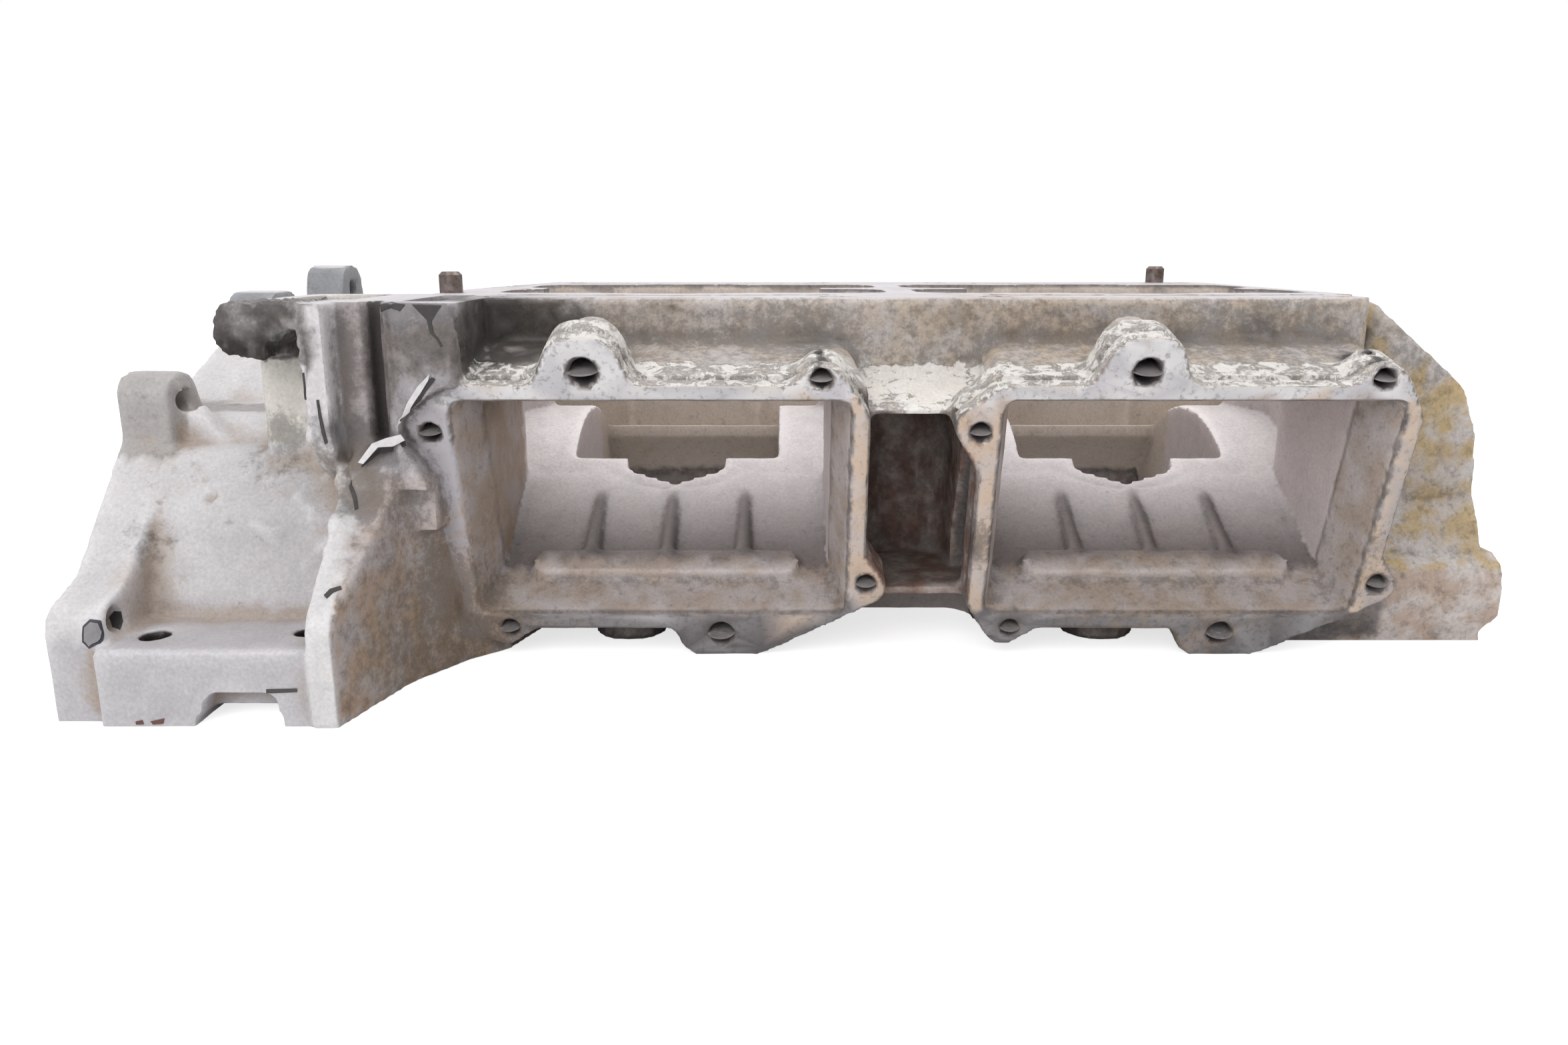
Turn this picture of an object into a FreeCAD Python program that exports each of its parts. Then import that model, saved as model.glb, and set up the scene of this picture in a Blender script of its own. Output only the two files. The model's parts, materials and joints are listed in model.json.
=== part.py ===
import FreeCAD, Part
import math
import os

from FreeCAD import Vector

# Upper half of a two-cylinder two-stroke crankcase, cast in aluminium.
# X runs along the crank, Z stands up from the split plane, and the reed ports face -Y.
# The origin is on the crank axis, midway between the two cylinders. Sizes are in millimetres.

# Cylinder deck and crank chambers
cylinder_pitch = 144.0
deck_height = 102.0
deck_half_depth = 78.0
deck_left_front = 124.0
deck_left_middle = 144.0
deck_left_back = 131.0
deck_right = 133.0
deck_front_corner = 9.0
block_foot_front = 59.0
block_foot_back = 70.0
cylinder_bore_radius = 47.0
pocket_half_depth = 42.0
pocket_outer_reach = 55.0
pocket_inner_reach = 67.0
pocket_rib = 8.0
pocket_corner = 13.0
plenum_floor = 40.0
crank_radius = 57.0
crank_wall = 4.0
chamber_width = 66.0
window_half_length = 35.0
notch_width = 31.0
notch_cut = 6.5
jacket_slot_width = 3.5
jacket_slot_length = 100.0
jacket_slot_wall = 13.0
jacket_slot_bow = 3.5
jacket_slot_floor = 3.0
stud_radius = 4.25
stud_depth = 20.0
stud_offset_x = 49.0
stud_inset = 10.0

# Main bearing line
centre_saddle_radius = 31.0
flywheel_saddle_radius = 36.0
output_saddle_radius = 35.0
seal_saddle_radius = 40.0
seal_seat_width = 15.0
ring_groove_from_chamber = 20.0
saddle_groove_width = 3.0
saddle_groove_depth = 2.0
centre_wall = 41.0
neck_half_width = 60.0
neck_height = 60.0

# Split plane flanges and their bolts
split_flange_thickness = 14.0
main_bolt_radius = 5.1
main_bolt_boss_radius = 11.0
main_bolt_offset = 12.5
front_bolt_y = 62.0
main_bolt_boss_height = 24.0
rear_flange_step = 6.0
split_bolt_inset = 6.0
split_tap_radius = 4.2
split_tap_depth = 17.0
centre_bolt_x = 29.0
centre_bolt_y = 46.0
end_bolt_x = 152.0
end_bolt_y = 62.0

# Reed ports
port_tilt = 15.76
flange_centre_y = 98.1
flange_centre_z = 45.8
flange_thickness = 14.0
flange_clearance = 20.0
opening_half_width = 52.2
opening_half_height = 32.7
opening_drop = 0.7
opening_corner = 3.0
rebate_width = 4.6
rebate_depth = 3.0
duct_inner_half_width = 47.0
duct_inner_half_height = 34.0
duct_wall = 5.0
duct_depth = 66.0
throat_top = 15.0
floor_rib_width = 5.0
floor_rib_height = 3.2
floor_rib_pitch = 22.5
floor_rib_length = 30.0
floor_bar_half_length = 39.0
floor_bar_width = 9.0
floor_bar_up = 13.0
m6_thread_radius = 2.5
m8_thread_radius = 3.4
countersink = 0.9
tapped_boss_wall = 4.0
m6_tapped_depth = 12.5
m8_tapped_depth = 20.0
tapped_boss_length = 23.0

# Web between the ports
web_half_width = 26.0
web_shelf_thickness = 4.0
web_shelf_front_z = 73.0
web_shelf_back_z = 80.0
web_floor_z = 19.5
web_floor_thickness = 3.0
mid_pocket_half_width = 14.0

# Flywheel bell
bell_left = 219.0
bell_right = 149.0
bell_flange_thickness = 14.0
bell_radius = 89.0
flywheel_radius = 80.0
plate_thickness = 6.5
plate_front = 138.5
wedge_top = 66.0
ledge_height = 20.0
ledge_front = 137.0
ledge_bolt_radius = 3.6
ledge_notch_left = 183.0
ledge_notch_right = 161.0
ledge_notch_height = 8.7
ledge_notch_depth = 8.0
ledge_notch_lip = 2.5
ear_radius = 8.2
ear_hole_radius = 3.4
ear_gusset_length = 18.0
ear_gusset_thickness = 6.0

# Tower between bell and deck
tower_left = 178.0
tower_front = 104.0
tower_back = 50.0
tower_wall = 5.0
tower_left_front = 95.0
tower_foot = 42.0
cell_depth_left = 26.0
cell_depth_right = 25.0
tower_step = 156.0
groove_width = 4.5
groove_depth = 13.0
tower_fin_left = 159.0
tower_fin_width = 6.5
tower_fin_stand = 8.0
column_left = 141.0
column_right = 120.0
column_stand = 6.0
column_corner = 9.0
stub_left = 179.5
stub_right = 167.5
stub_drop = 14.5
stub_depth = 18.0

# Output end
end_right = 177.0
end_radius = 73.0
end_shoulder_drop = 27.0
end_shoulder_x = 166.0
end_face_top = 170.0
end_half_depth = 60.0
end_flange_height = 15.0
end_flange_front = 74.5
end_recess_left = 127.0
end_recess_right = 133.0
end_recess_depth = 22.0

# Loose pieces
dowel_radius = 3.5
dowel_stand = 6.4
dowel_seat = 8.0
dowel_left_at = (-140.0, -41.0)
dowel_right_at = (112.6, deck_half_depth - 7.0)
plug_radius = 4.0
plug_stand = 2.0
plug_seat = 8.0
plug_at = (-50.0, 66.0)

cylinder_places = (-cylinder_pitch / 2, cylinder_pitch / 2)


def side(x):
    """Plane across the crank: (y, z) points at one x."""
    return lambda u, v: Vector(x, u, v)


def plan(z):
    """Level plane: (x, y) points at one height."""
    return lambda u, v: Vector(u, v, z)


def front(y):
    """Upright plane along the crank: (x, z) points at one y."""
    return lambda u, v: Vector(u, y, v)


def outline(points, plane):
    """Closed face through (u, v, r) corners, each rounded with its own radius."""
    corners = [plane(u, v) for u, v, r in points]
    count = len(points)
    ends = []
    for i in range(count):
        here = corners[i]
        before = (corners[i - 1] - here).normalize()
        after = (corners[(i + 1) % count] - here).normalize()
        radius = points[i][2]
        half = before.getAngle(after) / 2
        if radius == 0:
            ends.append((here, None, here))
            continue
        reach = radius / math.tan(half)
        middle = (before + after).normalize() * (radius / math.sin(half) - radius)
        ends.append((here + before * reach, here + middle, here + after * reach))
    edges = []
    for i in range(count):
        start, middle, end = ends[i]
        if middle is not None:
            edges.append(Part.Arc(start, middle, end).toShape())
        following = ends[(i + 1) % count][0]
        if end.distanceToPoint(following) > 1e-6:
            edges.append(Part.LineSegment(end, following).toShape())
    return Part.Face(Part.Wire(edges))


def prism(points, plane, along):
    """Straight extrusion of a rounded outline."""
    return outline(points, plane).extrude(along)


def box(x0, x1, y0, y1, z0, z1):
    """Box between two corners."""
    return Part.makeBox(x1 - x0, y1 - y0, z1 - z0, Vector(x0, y0, z0))


def rod(radius, length, start, axis):
    """Round bar from a point along an axis."""
    return Part.makeCylinder(radius, length, start, axis)


def joined(shapes):
    """One solid from many that overlap."""
    return shapes[0].multiFuse(shapes[1:]).removeSplitter()


def rectangle(x0, x1, y0, y1, r):
    """Corner list of a rounded rectangle."""
    return [(x0, y0, r), (x1, y0, r), (x1, y1, r), (x0, y1, r)]


def tapered(near, far):
    """Solid with flat sides between two polygons with the same number of corners."""
    faces = [Part.Face(Part.makePolygon(near + near[:1])), Part.Face(Part.makePolygon(far + far[:1]))]
    for i in range(len(near)):
        j = (i + 1) % len(near)
        faces.append(Part.Face(Part.makePolygon([near[i], near[j], far[j], far[i], near[i]])))
    solid = Part.Solid(Part.Shell(faces))
    if solid.Volume < 0:
        solid.reverse()
    return solid


def flat(corners, plane):
    """Corner points of a polygon on a plane."""
    return [plane(u, v) for u, v, r in corners]


def long_edges(solid, near, far):
    """Edges of a tapered solid that run from one polygon to the other."""
    picked = []
    for a, b in zip(near, far):
        middle = (a + b) * 0.5
        picked.append(min(solid.Edges, key=lambda e: e.CenterOfMass.distanceToPoint(middle)))
    return picked


def block():
    """Deck, walls and belly between the bell and the output end."""
    top = deck_height
    wall = [
        (-block_foot_front, 0, 0), (-block_foot_front, 30, 12), (-deck_half_depth, 62, 8),
        (-deck_half_depth, top, 1.2), (deck_half_depth, top, 1.2), (deck_half_depth, 60, 10),
        (block_foot_back, 30, 10), (block_foot_back, 0, 0),
    ]
    length = Vector(deck_left_middle + deck_right, 0, 0)
    body = prism(wall, side(-deck_left_middle), length)
    footprint = [
        (-deck_left_front, -deck_half_depth - 1, 0), (deck_right - deck_front_corner, -deck_half_depth - 1, 5),
        (deck_right, -66.0, 12), (deck_right, deck_half_depth + 1, 8),
        (-deck_left_back, deck_half_depth + 1, 8), (-deck_left_middle, -8, 20),
        (-deck_left_middle, -tower_back - 6, 0), (-deck_left_front, -tower_back - 10, 0),
    ]
    return body.common(prism(footprint, plan(0), Vector(0, 0, top)))


def neck():
    """Housing of the flywheel-side bearing, between the bell's end plate and the block."""
    wide, high, bevel = neck_half_width, neck_height, neck_half_width - crank_wall - flywheel_saddle_radius
    section = [
        (-wide, 0, 0), (-wide, high - bevel, 14), (-wide + bevel, high, 14),
        (wide - bevel, high, 14), (wide, high - bevel, 14), (wide, 0, 0),
    ]
    return prism(section, side(-bell_right - 1), Vector(bell_right - deck_left_front + 1, 0, 0))


def split_flange_back():
    """Rear split flange, with a boss at each main bolt."""
    back = deck_half_depth + rear_flange_step
    flange = box(-bell_right, deck_right, block_foot_back - 4, back, 0, split_flange_thickness)
    bosses = []
    for x in main_bolt_row():
        foot = Vector(x, back - split_bolt_inset, 0)
        bosses.append(rod(main_bolt_boss_radius, main_bolt_boss_height, foot, Vector(0, 0, 1)))
    return [flange] + bosses


def main_bolt_row():
    """Places of the main bolts along the crank."""
    return [x - main_bolt_offset for x in cylinder_places] + [0.0, deck_right - 8.0]


def front_bosses():
    """Two bosses of the main bolts under the reed ports."""
    bosses = []
    for x in cylinder_places:
        foot = Vector(x - main_bolt_offset, -front_bolt_y, 0)
        bosses.append(rod(main_bolt_boss_radius, main_bolt_boss_height, foot, Vector(0, 0, 1)))
    return bosses


def tilt():
    """Unit vectors of the flange plane: up along the face, and inward through it."""
    angle = math.radians(port_tilt)
    up = Vector(0, -math.sin(angle), math.cos(angle))
    inward = Vector(0, math.cos(angle), math.sin(angle))
    return up, inward


def flange_plane(centre_x, depth=0.0):
    """Plane of the reed flange's face, or a plane parallel to it further in."""
    up, inward = tilt()
    middle = Vector(centre_x, -flange_centre_y, flange_centre_z) + inward * depth
    return lambda u, v: middle + Vector(u, 0, 0) + up * v


# Places of the reed flange's six tapped holes: across, up, thread radius
flange_holes = [
    (-57.8, 23.4, m6_thread_radius), (-16.6, 40.3, m8_thread_radius), (44.3, 38.4, m6_thread_radius),
    (57.8, -23.4, m6_thread_radius), (16.6, -40.3, m8_thread_radius), (-44.3, -38.4, m6_thread_radius),
]

# Edge of the reed flange: a lobe round each hole, with hollow blends between them
flange_edge = [
    (-57.5, -31.0, 5), (-47.3, -46.8, 6), (-37.0, -39.0, 6), (3.0, -39.0, 3), (6.2, -48.0, 7),
    (28.0, -48.0, 16), (66.0, -27.0, 5.5), (57.5, -14.5, 5), (57.5, 28.0, 10), (46.5, 45.5, 7),
    (36.2, 36.6, 4), (-4.5, 36.6, 5), (-9.0, 50.0, 8), (-24.5, 50.0, 8), (-30.5, 36.6, 4),
    (-54.0, 36.6, 10), (-66.5, 26.5, 6), (-57.5, 11.5, 5),
]


def reed_flange(centre_x):
    """Flange plate of one port, still solid inside, and the room kept free in front of its face."""
    up, inward = tilt()
    plate = prism(flange_edge, flange_plane(centre_x), inward * flange_thickness)
    room = prism(flange_edge, flange_plane(centre_x), inward * -flange_clearance)
    return plate, room


def reed_port(centre_x):
    """Duct walls and hole bosses of one port, still solid inside."""
    up, inward = tilt()
    wide = opening_half_width + duct_wall
    high = opening_half_height + duct_wall
    narrow = duct_inner_half_width + duct_wall
    top = high - opening_drop
    outer = flat(rectangle(-wide, wide, -high - opening_drop, top, 0), flange_plane(centre_x, 6))
    inner = flat(rectangle(-narrow, narrow, -high + 6, top, 0), flange_plane(centre_x, 46))
    duct = tapered(outer, inner)
    duct = duct.makeFillet(6.0, long_edges(duct, outer, inner))
    bosses = []
    for u, v, r in flange_holes:
        if r == m8_thread_radius:
            start = flange_plane(centre_x)(u, v)
            bosses.append(rod(r + tapped_boss_wall, tapped_boss_length, start, inward))
    return [duct] + bosses


def port_passage(centre_x):
    """Air space of one port: rebated mouth, converging duct, floor tangent to the crank wall."""
    up, inward = tilt()
    half, high, drop, lip = opening_half_width, opening_half_height, opening_drop, rebate_width
    low = -high - drop
    top = high - drop
    seat = flange_thickness + rebate_depth
    slope = lip / seat
    face = flat(rectangle(-half - slope, half + slope, low - slope, top, 0), flange_plane(centre_x, -1))
    back = flat(rectangle(-half + lip, half - lip, low + lip, top, 0), flange_plane(centre_x, seat))
    rebate = tapered(face, back)
    rebate = rebate.makeFillet(opening_corner, long_edges(rebate, face, back))
    throat = flat(
        rectangle(-duct_inner_half_width, duct_inner_half_width, -duct_inner_half_height, throat_top, 0),
        flange_plane(centre_x, duct_depth),
    )
    return rebate.fuse(tapered(back, throat)).cut(port_floor(centre_x))


def floor_line():
    """Mouth end, tangent point and slope of the port floor."""
    radius = crank_radius + crank_wall
    up, inward = tilt()
    low = Vector(0, -flange_centre_y, flange_centre_z) + up * (-opening_half_height - opening_drop)
    reach = math.hypot(low.y, low.z)
    angle = math.atan2(low.z, -low.y) + math.acos(radius / reach)
    tangent = Vector(0, -radius * math.cos(angle), radius * math.sin(angle))
    return low, tangent


def port_floor(centre_x):
    """Metal under the port: a ramp that runs tangent onto the round crank wall."""
    low, tangent = floor_line()
    wide = opening_half_width + 2
    slope = (tangent - low).normalize()
    start = low - slope * 12
    ramp = [(start.y, start.z, 0), (tangent.y, tangent.z, 0), (0, 0, 0), (start.y, -30, 0)]
    ramp_body = prism(ramp, side(centre_x - wide), Vector(2 * wide, 0, 0))
    hump = rod(crank_radius + crank_wall, 2 * wide, Vector(centre_x - wide, 0, 0), Vector(1, 0, 0))
    return ramp_body.fuse(hump)


def floor_ribs(centre_x):
    """Three ribs and the round-ended bar cast on the port floor."""
    low, tangent = floor_line()
    slope = (tangent - low).normalize()
    rise = Vector(0, -slope.z, slope.y)
    base = low + slope * (floor_bar_up + floor_bar_width)
    ribs = []
    for step in (-1, 0, 1):
        place = base + Vector(centre_x + step * floor_rib_pitch, 0, 0)
        ends = []
        thick = floor_rib_width / 2
        for along, drop, half in ((0, 0, thick), (floor_rib_length, floor_rib_height, thick - 0.8)):
            corner = place + slope * along - rise * drop
            section = [(-half, -2), (half, -2), (half - 0.6, floor_rib_height), (-half + 0.6, floor_rib_height)]
            ends.append([corner + Vector(u, 0, 0) + rise * v for u, v in section])
        ribs.append(tapered(ends[0], ends[1]))
    bar_place = low + slope * floor_bar_up + Vector(centre_x, 0, 0) - rise * 2
    bar_plane = lambda u, v: bar_place + Vector(u, 0, 0) + slope * v
    half = floor_bar_half_length
    bar = prism(rectangle(-half, half, 0, floor_bar_width, 4.2), bar_plane, rise * (2 + floor_rib_height))
    return ribs + [bar]


def plenum(centre_x):
    """Space under one cylinder: spigot bore and four transfer pockets, down to the crank wall."""
    inner = 1 if centre_x < 0 else -1
    height = deck_height - plenum_floor + 1
    bore = rod(cylinder_bore_radius, height, Vector(centre_x, 0, plenum_floor), Vector(0, 0, 1))
    pockets = []
    for side_way, reach in ((inner, pocket_inner_reach), (-inner, pocket_outer_reach)):
        for row in (-1, 1):
            near = centre_x + side_way * 18.0
            far = centre_x + side_way * reach
            y_near, y_far = row * pocket_rib / 2, row * pocket_half_depth
            x_low, x_high = sorted((near, far))
            y_low, y_high = sorted((y_near, y_far))
            corners = rectangle(x_low, x_high, y_low, y_high, pocket_corner)
            pockets.append(prism(corners, plan(plenum_floor), Vector(0, 0, height)))
    space = joined([bore] + pockets)
    hump_start = Vector(centre_x - pocket_inner_reach, 0, 0)
    hump = rod(crank_radius + crank_wall, 2 * pocket_inner_reach, hump_start, Vector(1, 0, 0))
    return space.cut(hump)


def crank_chamber(centre_x):
    """Half-round chamber, its window up into the plenum, and the rod notch in the window's front edge."""
    half = chamber_width / 2
    chamber = rod(crank_radius, chamber_width, Vector(centre_x - half, 0, 0), Vector(1, 0, 0))
    top = crank_radius + crank_wall + 3
    window = box(centre_x - half, centre_x + half, -window_half_length, window_half_length, 20, top)
    edge = window_half_length
    notch_depth = edge + notch_cut
    bite = [
        (-notch_width / 2, 0, 0), (-notch_width / 2, -notch_depth + 2, 3), (0, -notch_depth - 2, 3),
        (notch_width / 2, -notch_depth + 2, 3), (notch_width / 2, 0, 0),
    ]
    shifted = [(centre_x + x, y, r) for x, y, r in bite]
    notch = prism(shifted, plan(20), Vector(0, 0, top - 20))
    return chamber.fuse([window, notch])


def port_roof():
    """Highest point of the port's roof, where the rebate ends."""
    up, inward = tilt()
    top = opening_half_height - opening_drop
    return flange_centre_z + top * up.z + (flange_thickness + rebate_depth) * inward.z


def jacket_slots(centre_x):
    """Curved coolant slots in the deck, in front of and behind each bore, blind above the port's roof."""
    slots = []
    half = jacket_slot_length / 2
    bottom = port_roof() + jacket_slot_floor
    for row in (-1, 1):
        middle = row * (cylinder_bore_radius + jacket_slot_wall)
        end = middle - row * jacket_slot_bow
        left, right, w = centre_x - half, centre_x + half, row * jacket_slot_width / 2
        outer = Part.Arc(Vector(left, end + w, 0), Vector(centre_x, middle + w, 0), Vector(right, end + w, 0))
        inner = Part.Arc(Vector(right, end - w, 0), Vector(centre_x, middle - w, 0), Vector(left, end - w, 0))
        wire = Part.Wire([
            outer.toShape(), Part.LineSegment(outer.EndPoint, inner.StartPoint).toShape(),
            inner.toShape(), Part.LineSegment(inner.EndPoint, outer.StartPoint).toShape(),
        ])
        slot = Part.Face(wire).extrude(Vector(0, 0, deck_height + 1 - bottom))
        slot.translate(Vector(0, 0, bottom))
        slots.append(slot)
    return slots


def stud_holes(centre_x):
    """Four blind stud holes round one cylinder."""
    holes = []
    row = deck_half_depth - stud_inset
    for i in (-1, 1):
        for j in (-1, 1):
            place = Vector(centre_x + i * stud_offset_x, j * row, deck_height - stud_depth)
            holes.append(rod(stud_radius, stud_depth + 1, place, Vector(0, 0, 1)))
    return holes


def saddles():
    """Half-round seats of the main bearings and the end seal, with their ring grooves."""
    axis = Vector(1, 0, 0)
    chamber_end = cylinder_pitch / 2 + chamber_width / 2
    bell_end = bell_right + plate_thickness
    cuts = [
        rod(centre_saddle_radius, cylinder_pitch, Vector(-cylinder_pitch / 2, 0, 0), axis),
        rod(flywheel_saddle_radius, bell_end - chamber_end + 2, Vector(-bell_end - 1, 0, 0), axis),
        rod(output_saddle_radius, end_right - chamber_end + 2, Vector(chamber_end - 1, 0, 0), axis),
        rod(seal_saddle_radius, seal_seat_width + 1, Vector(end_right - seal_seat_width, 0, 0), axis),
    ]
    centre_ring = centre_wall * 0.5 - saddle_groove_width
    end_ring = chamber_end + ring_groove_from_chamber
    rings = [
        (-end_ring - saddle_groove_width, flywheel_saddle_radius),
        (-centre_ring - saddle_groove_width, centre_saddle_radius),
        (centre_ring, centre_saddle_radius),
        (end_ring, output_saddle_radius),
    ]
    for x, seat in rings:
        cuts.append(rod(seat + saddle_groove_depth, saddle_groove_width, Vector(x, 0, 0), axis))
    return cuts


def middle_web():
    """Shelf and floor that tie the two ports together, and the pocket between them."""
    half = web_half_width
    t = web_shelf_thickness
    low, high = web_shelf_front_z, web_shelf_back_z
    shelf = [
        (-95.5, low - t, 0), (-95.5, low, 1.5), (-deck_half_depth - 1, high, 0),
        (-60, high, 0), (-60, high - t, 0), (-deck_half_depth - 2, high - 2 - t, 0),
    ]
    floor = box(-half, half, -80, -40, web_floor_z - web_floor_thickness, web_floor_z)
    return [prism(shelf, side(-half), Vector(2 * half, 0, 0)), floor]


def middle_pocket():
    """Hollow between the ports, above and below the web floor."""
    half = mid_pocket_half_width
    above = prism(
        [(-half, -110, 0), (half, -110, 0), (half, -centre_wall, 8), (-half, -centre_wall, 8)],
        plan(web_floor_z), Vector(0, 0, 72.0 - web_floor_z),
    )
    low_plan = [
        (-half - 14, -110, 0), (half + 14, -110, 0), (half + 8, -centre_wall, 10), (-half - 8, -centre_wall, 10),
    ]
    below = prism(low_plan, plan(-1), Vector(0, 0, 1 + web_floor_z - web_floor_thickness))
    return [above, below]


# Outside of the flywheel bell seen along the crank: front bulge, flat shoulder, then the round shell
bell_section = [
    (-112.0, 0, 0), (-112.0, 25.0, 12), (-104.5, 47.0, 16), (-93.0, 61.5, 8), (-84.0, 62.5, 5),
    (-77.0, 69.0, 6), (-57.0, 70.5, 12), (-48.0, 77.0, 12), (-29.0, 84.5, 14), (0, 90.5, 40),
    (46.0, 80.0, 40), (86.0, 40.0, 40), (bell_radius, 0, 0),
]

# Front hollow of the bell for the starter gear, one wall inside the bulge
starter_pocket = [
    (-105.0, 8.0, 0), (-105.0, 25.0, 7), (-98.5, 44.0, 10), (-90.0, 55.0, 6), (-76.0, 60.0, 6),
    (-58.0, 64.0, 6), (-50.0, 40.0, 0), (-60.0, 8.0, 0),
]

# Edge of the bell's end plate, which stands proud of the bulge and follows it down to the split plane
plate_edge = [
    (-plate_front, 0, 0), (-plate_front, 27.0, 10), (-118.0, 45.5, 14), (-110.0, 52.5, 4), (-109.0, 60.5, 3),
    (-66.0, 62.0, 6), (-58.0, 74.0, 8), (-30.0, 87.5, 14), (0, 92.5, 40), (48.0, 81.0, 40),
    (88.0, 41.0, 40), (91.0, 0, 0),
]

# Plan of the slanted wall between the bell's end plate and the left port
wedge_plan = [
    (-150.0, -plate_front, 0), (-147.0, -plate_front, 2), (-138.6, -108.0, 20), (-127.5, -90.0, 10),
    (-118.0, -80.0, 0), (-112.0, -60.0, 0), (-150.0, -60.0, 0),
]

# Upright bolts of the bell's split ledge: x, y
ledge_bolts = [(-197.3, -124.5), (-159.0, -122.0)]

# Outside of the bell's joint flange, with its bolt ears
bell_flange_edge = [
    (-134.0, 0, 0), (-134.0, 28.0, 7), (-119.0, 33.5, 8), (-90.5, 64.0, 6), (-90.5, 82.0, 7), (-74.0, 82.0, 7),
    (-70.0, 66.0, 6), (-48.0, 78.0, 10), (-24.0, 88.0, 5), (-21.0, 101.5, 7), (-1.0, 101.5, 7), (2.0, 94.0, 4),
    (40.0, 94.0, 6), (44.0, 109.0, 8), (61.0, 109.0, 8), (68.0, 78.0, 12), (98.0, 48.0, 10), (104.0, 0, 0),
]

# Bolt holes along the crank in the bell's joint flange: y, z
bell_flange_holes = [(-126.8, 24.8), (-82.3, 74.0), (-11.0, 93.4), (52.5, 100.0), (92.0, 40.0)]


def bell():
    """Flywheel bell: shell, joint flange, split ledge and end plate, still solid inside."""
    inside_flange = bell_left - bell_flange_thickness
    shell = prism(bell_section, side(-inside_flange - 1), Vector(inside_flange + 1 - bell_right, 0, 0))
    flange = prism(bell_flange_edge, side(-bell_left), Vector(bell_flange_thickness, 0, 0))
    ledge = box(-inside_flange - 1, -bell_right, -ledge_front, -90, 0, ledge_height)
    plate = prism(plate_edge, side(-bell_right - plate_thickness + 2), Vector(plate_thickness, 0, 0))
    gussets = []
    for y, z in bell_flange_holes[1:3]:
        start = -inside_flange - 1
        web = [
            (start, z + ear_radius - 1, 0), (start, z - 3 * ear_radius, 0),
            (start + ear_gusset_length, z - 2 * ear_radius, 2),
        ]
        gussets.append(prism(web, front(y - ear_gusset_thickness / 2), Vector(0, ear_gusset_thickness, 0)))
    return [shell, flange, ledge, plate] + gussets


def bell_hollow():
    """Flywheel space and the starter pocket in front of it."""
    depth = bell_left - bell_right - plate_thickness
    start = Vector(-bell_left - 1, 0, 0)
    flywheel = rod(flywheel_radius, depth + 1, start, Vector(1, 0, 0))
    starter = prism(starter_pocket, side(-bell_left - 1), Vector(depth - 2, 0, 0))
    return [flywheel, starter]


def bell_holes():
    """Cover bolt holes along the crank, the ledge bolts and the notch under the ledge."""
    cuts = []
    for y, z in bell_flange_holes:
        start = Vector(-bell_left - 1, y, z)
        cuts.append(rod(ear_hole_radius, bell_flange_thickness + 6, start, Vector(1, 0, 0)))
    for x, y in ledge_bolts:
        cuts.append(rod(ledge_bolt_radius, ledge_height + 2, Vector(x, y, -1), Vector(0, 0, 1)))
    notch = [
        (-ledge_notch_left, -1, 0), (-ledge_notch_left + 4, ledge_notch_height, 3),
        (-ledge_notch_right - 2, ledge_notch_height, 3), (-ledge_notch_right, -1, 0),
    ]
    cuts.append(prism(notch, front(-ledge_front - 3), Vector(0, ledge_notch_depth + 3, 0)))
    cuts.append(box(-ledge_notch_left, -ledge_notch_right, -ledge_front, -112, -1, ledge_notch_lip))
    return cuts


def wedge_wall():
    """Wall that runs slantwise from the bell's end plate to the left port's flange."""
    body = prism(wedge_plan, plan(0), Vector(0, 0, deck_height))
    roof = plate_edge[:5] + [(-104.0, wedge_top, 0), (-50.0, wedge_top, 0), (-50.0, 0, 0)]
    return body.common(prism(roof, side(-bell_right - 1), Vector(60, 0, 0)))


def tower():
    """Hollow tower on the bell, flush with the deck, with its fin, column and broken stub."""
    top = deck_height
    foot = tower_foot
    rise = Vector(0, 0, top - foot)
    right = prism(rectangle(-tower_step, -column_right - 1, -tower_front, -tower_back, 2), plan(foot), rise)
    left = prism(rectangle(-tower_left, -tower_step + 4, -tower_left_front, -tower_back, 3), plan(foot), rise)
    fin_front = -tower_front - tower_fin_stand
    fin_back = -tower_left_front + 6
    fin_side = [
        (fin_front, top, 0), (fin_front, foot + 24, 2), (fin_front + 6, foot + 16, 3), (fin_back, foot + 8, 0),
        (fin_back, top, 0),
    ]
    fin = prism(fin_side, side(-tower_fin_left), Vector(tower_fin_width, 0, 0))
    column_front = -tower_front - column_stand
    column_back = -tower_back - 10
    column_plan = [
        (-column_left, column_front, column_corner), (-column_right, column_front, 3),
        (-column_right, column_back, 0), (-column_left, column_back, 0),
    ]
    column = prism(column_plan, plan(foot + 12), Vector(0, 0, top - foot - 12))
    low = top - stub_drop
    stub_right_end = -tower_fin_left + 1
    stub_face = [
        (-stub_left, low + 2, 1.5), (-stub_left - 1.5, low + 7, 2), (-stub_left + 0.5, top, 3),
        (stub_right_end, top, 0), (stub_right_end, top - 5, 2), (-stub_right, low + 4, 1),
        (-stub_right, low, 0.5),
    ]
    stub = prism(stub_face, front(fin_front + 1), Vector(0, stub_depth, 0))
    return [right, left, fin, column, stub]


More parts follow.
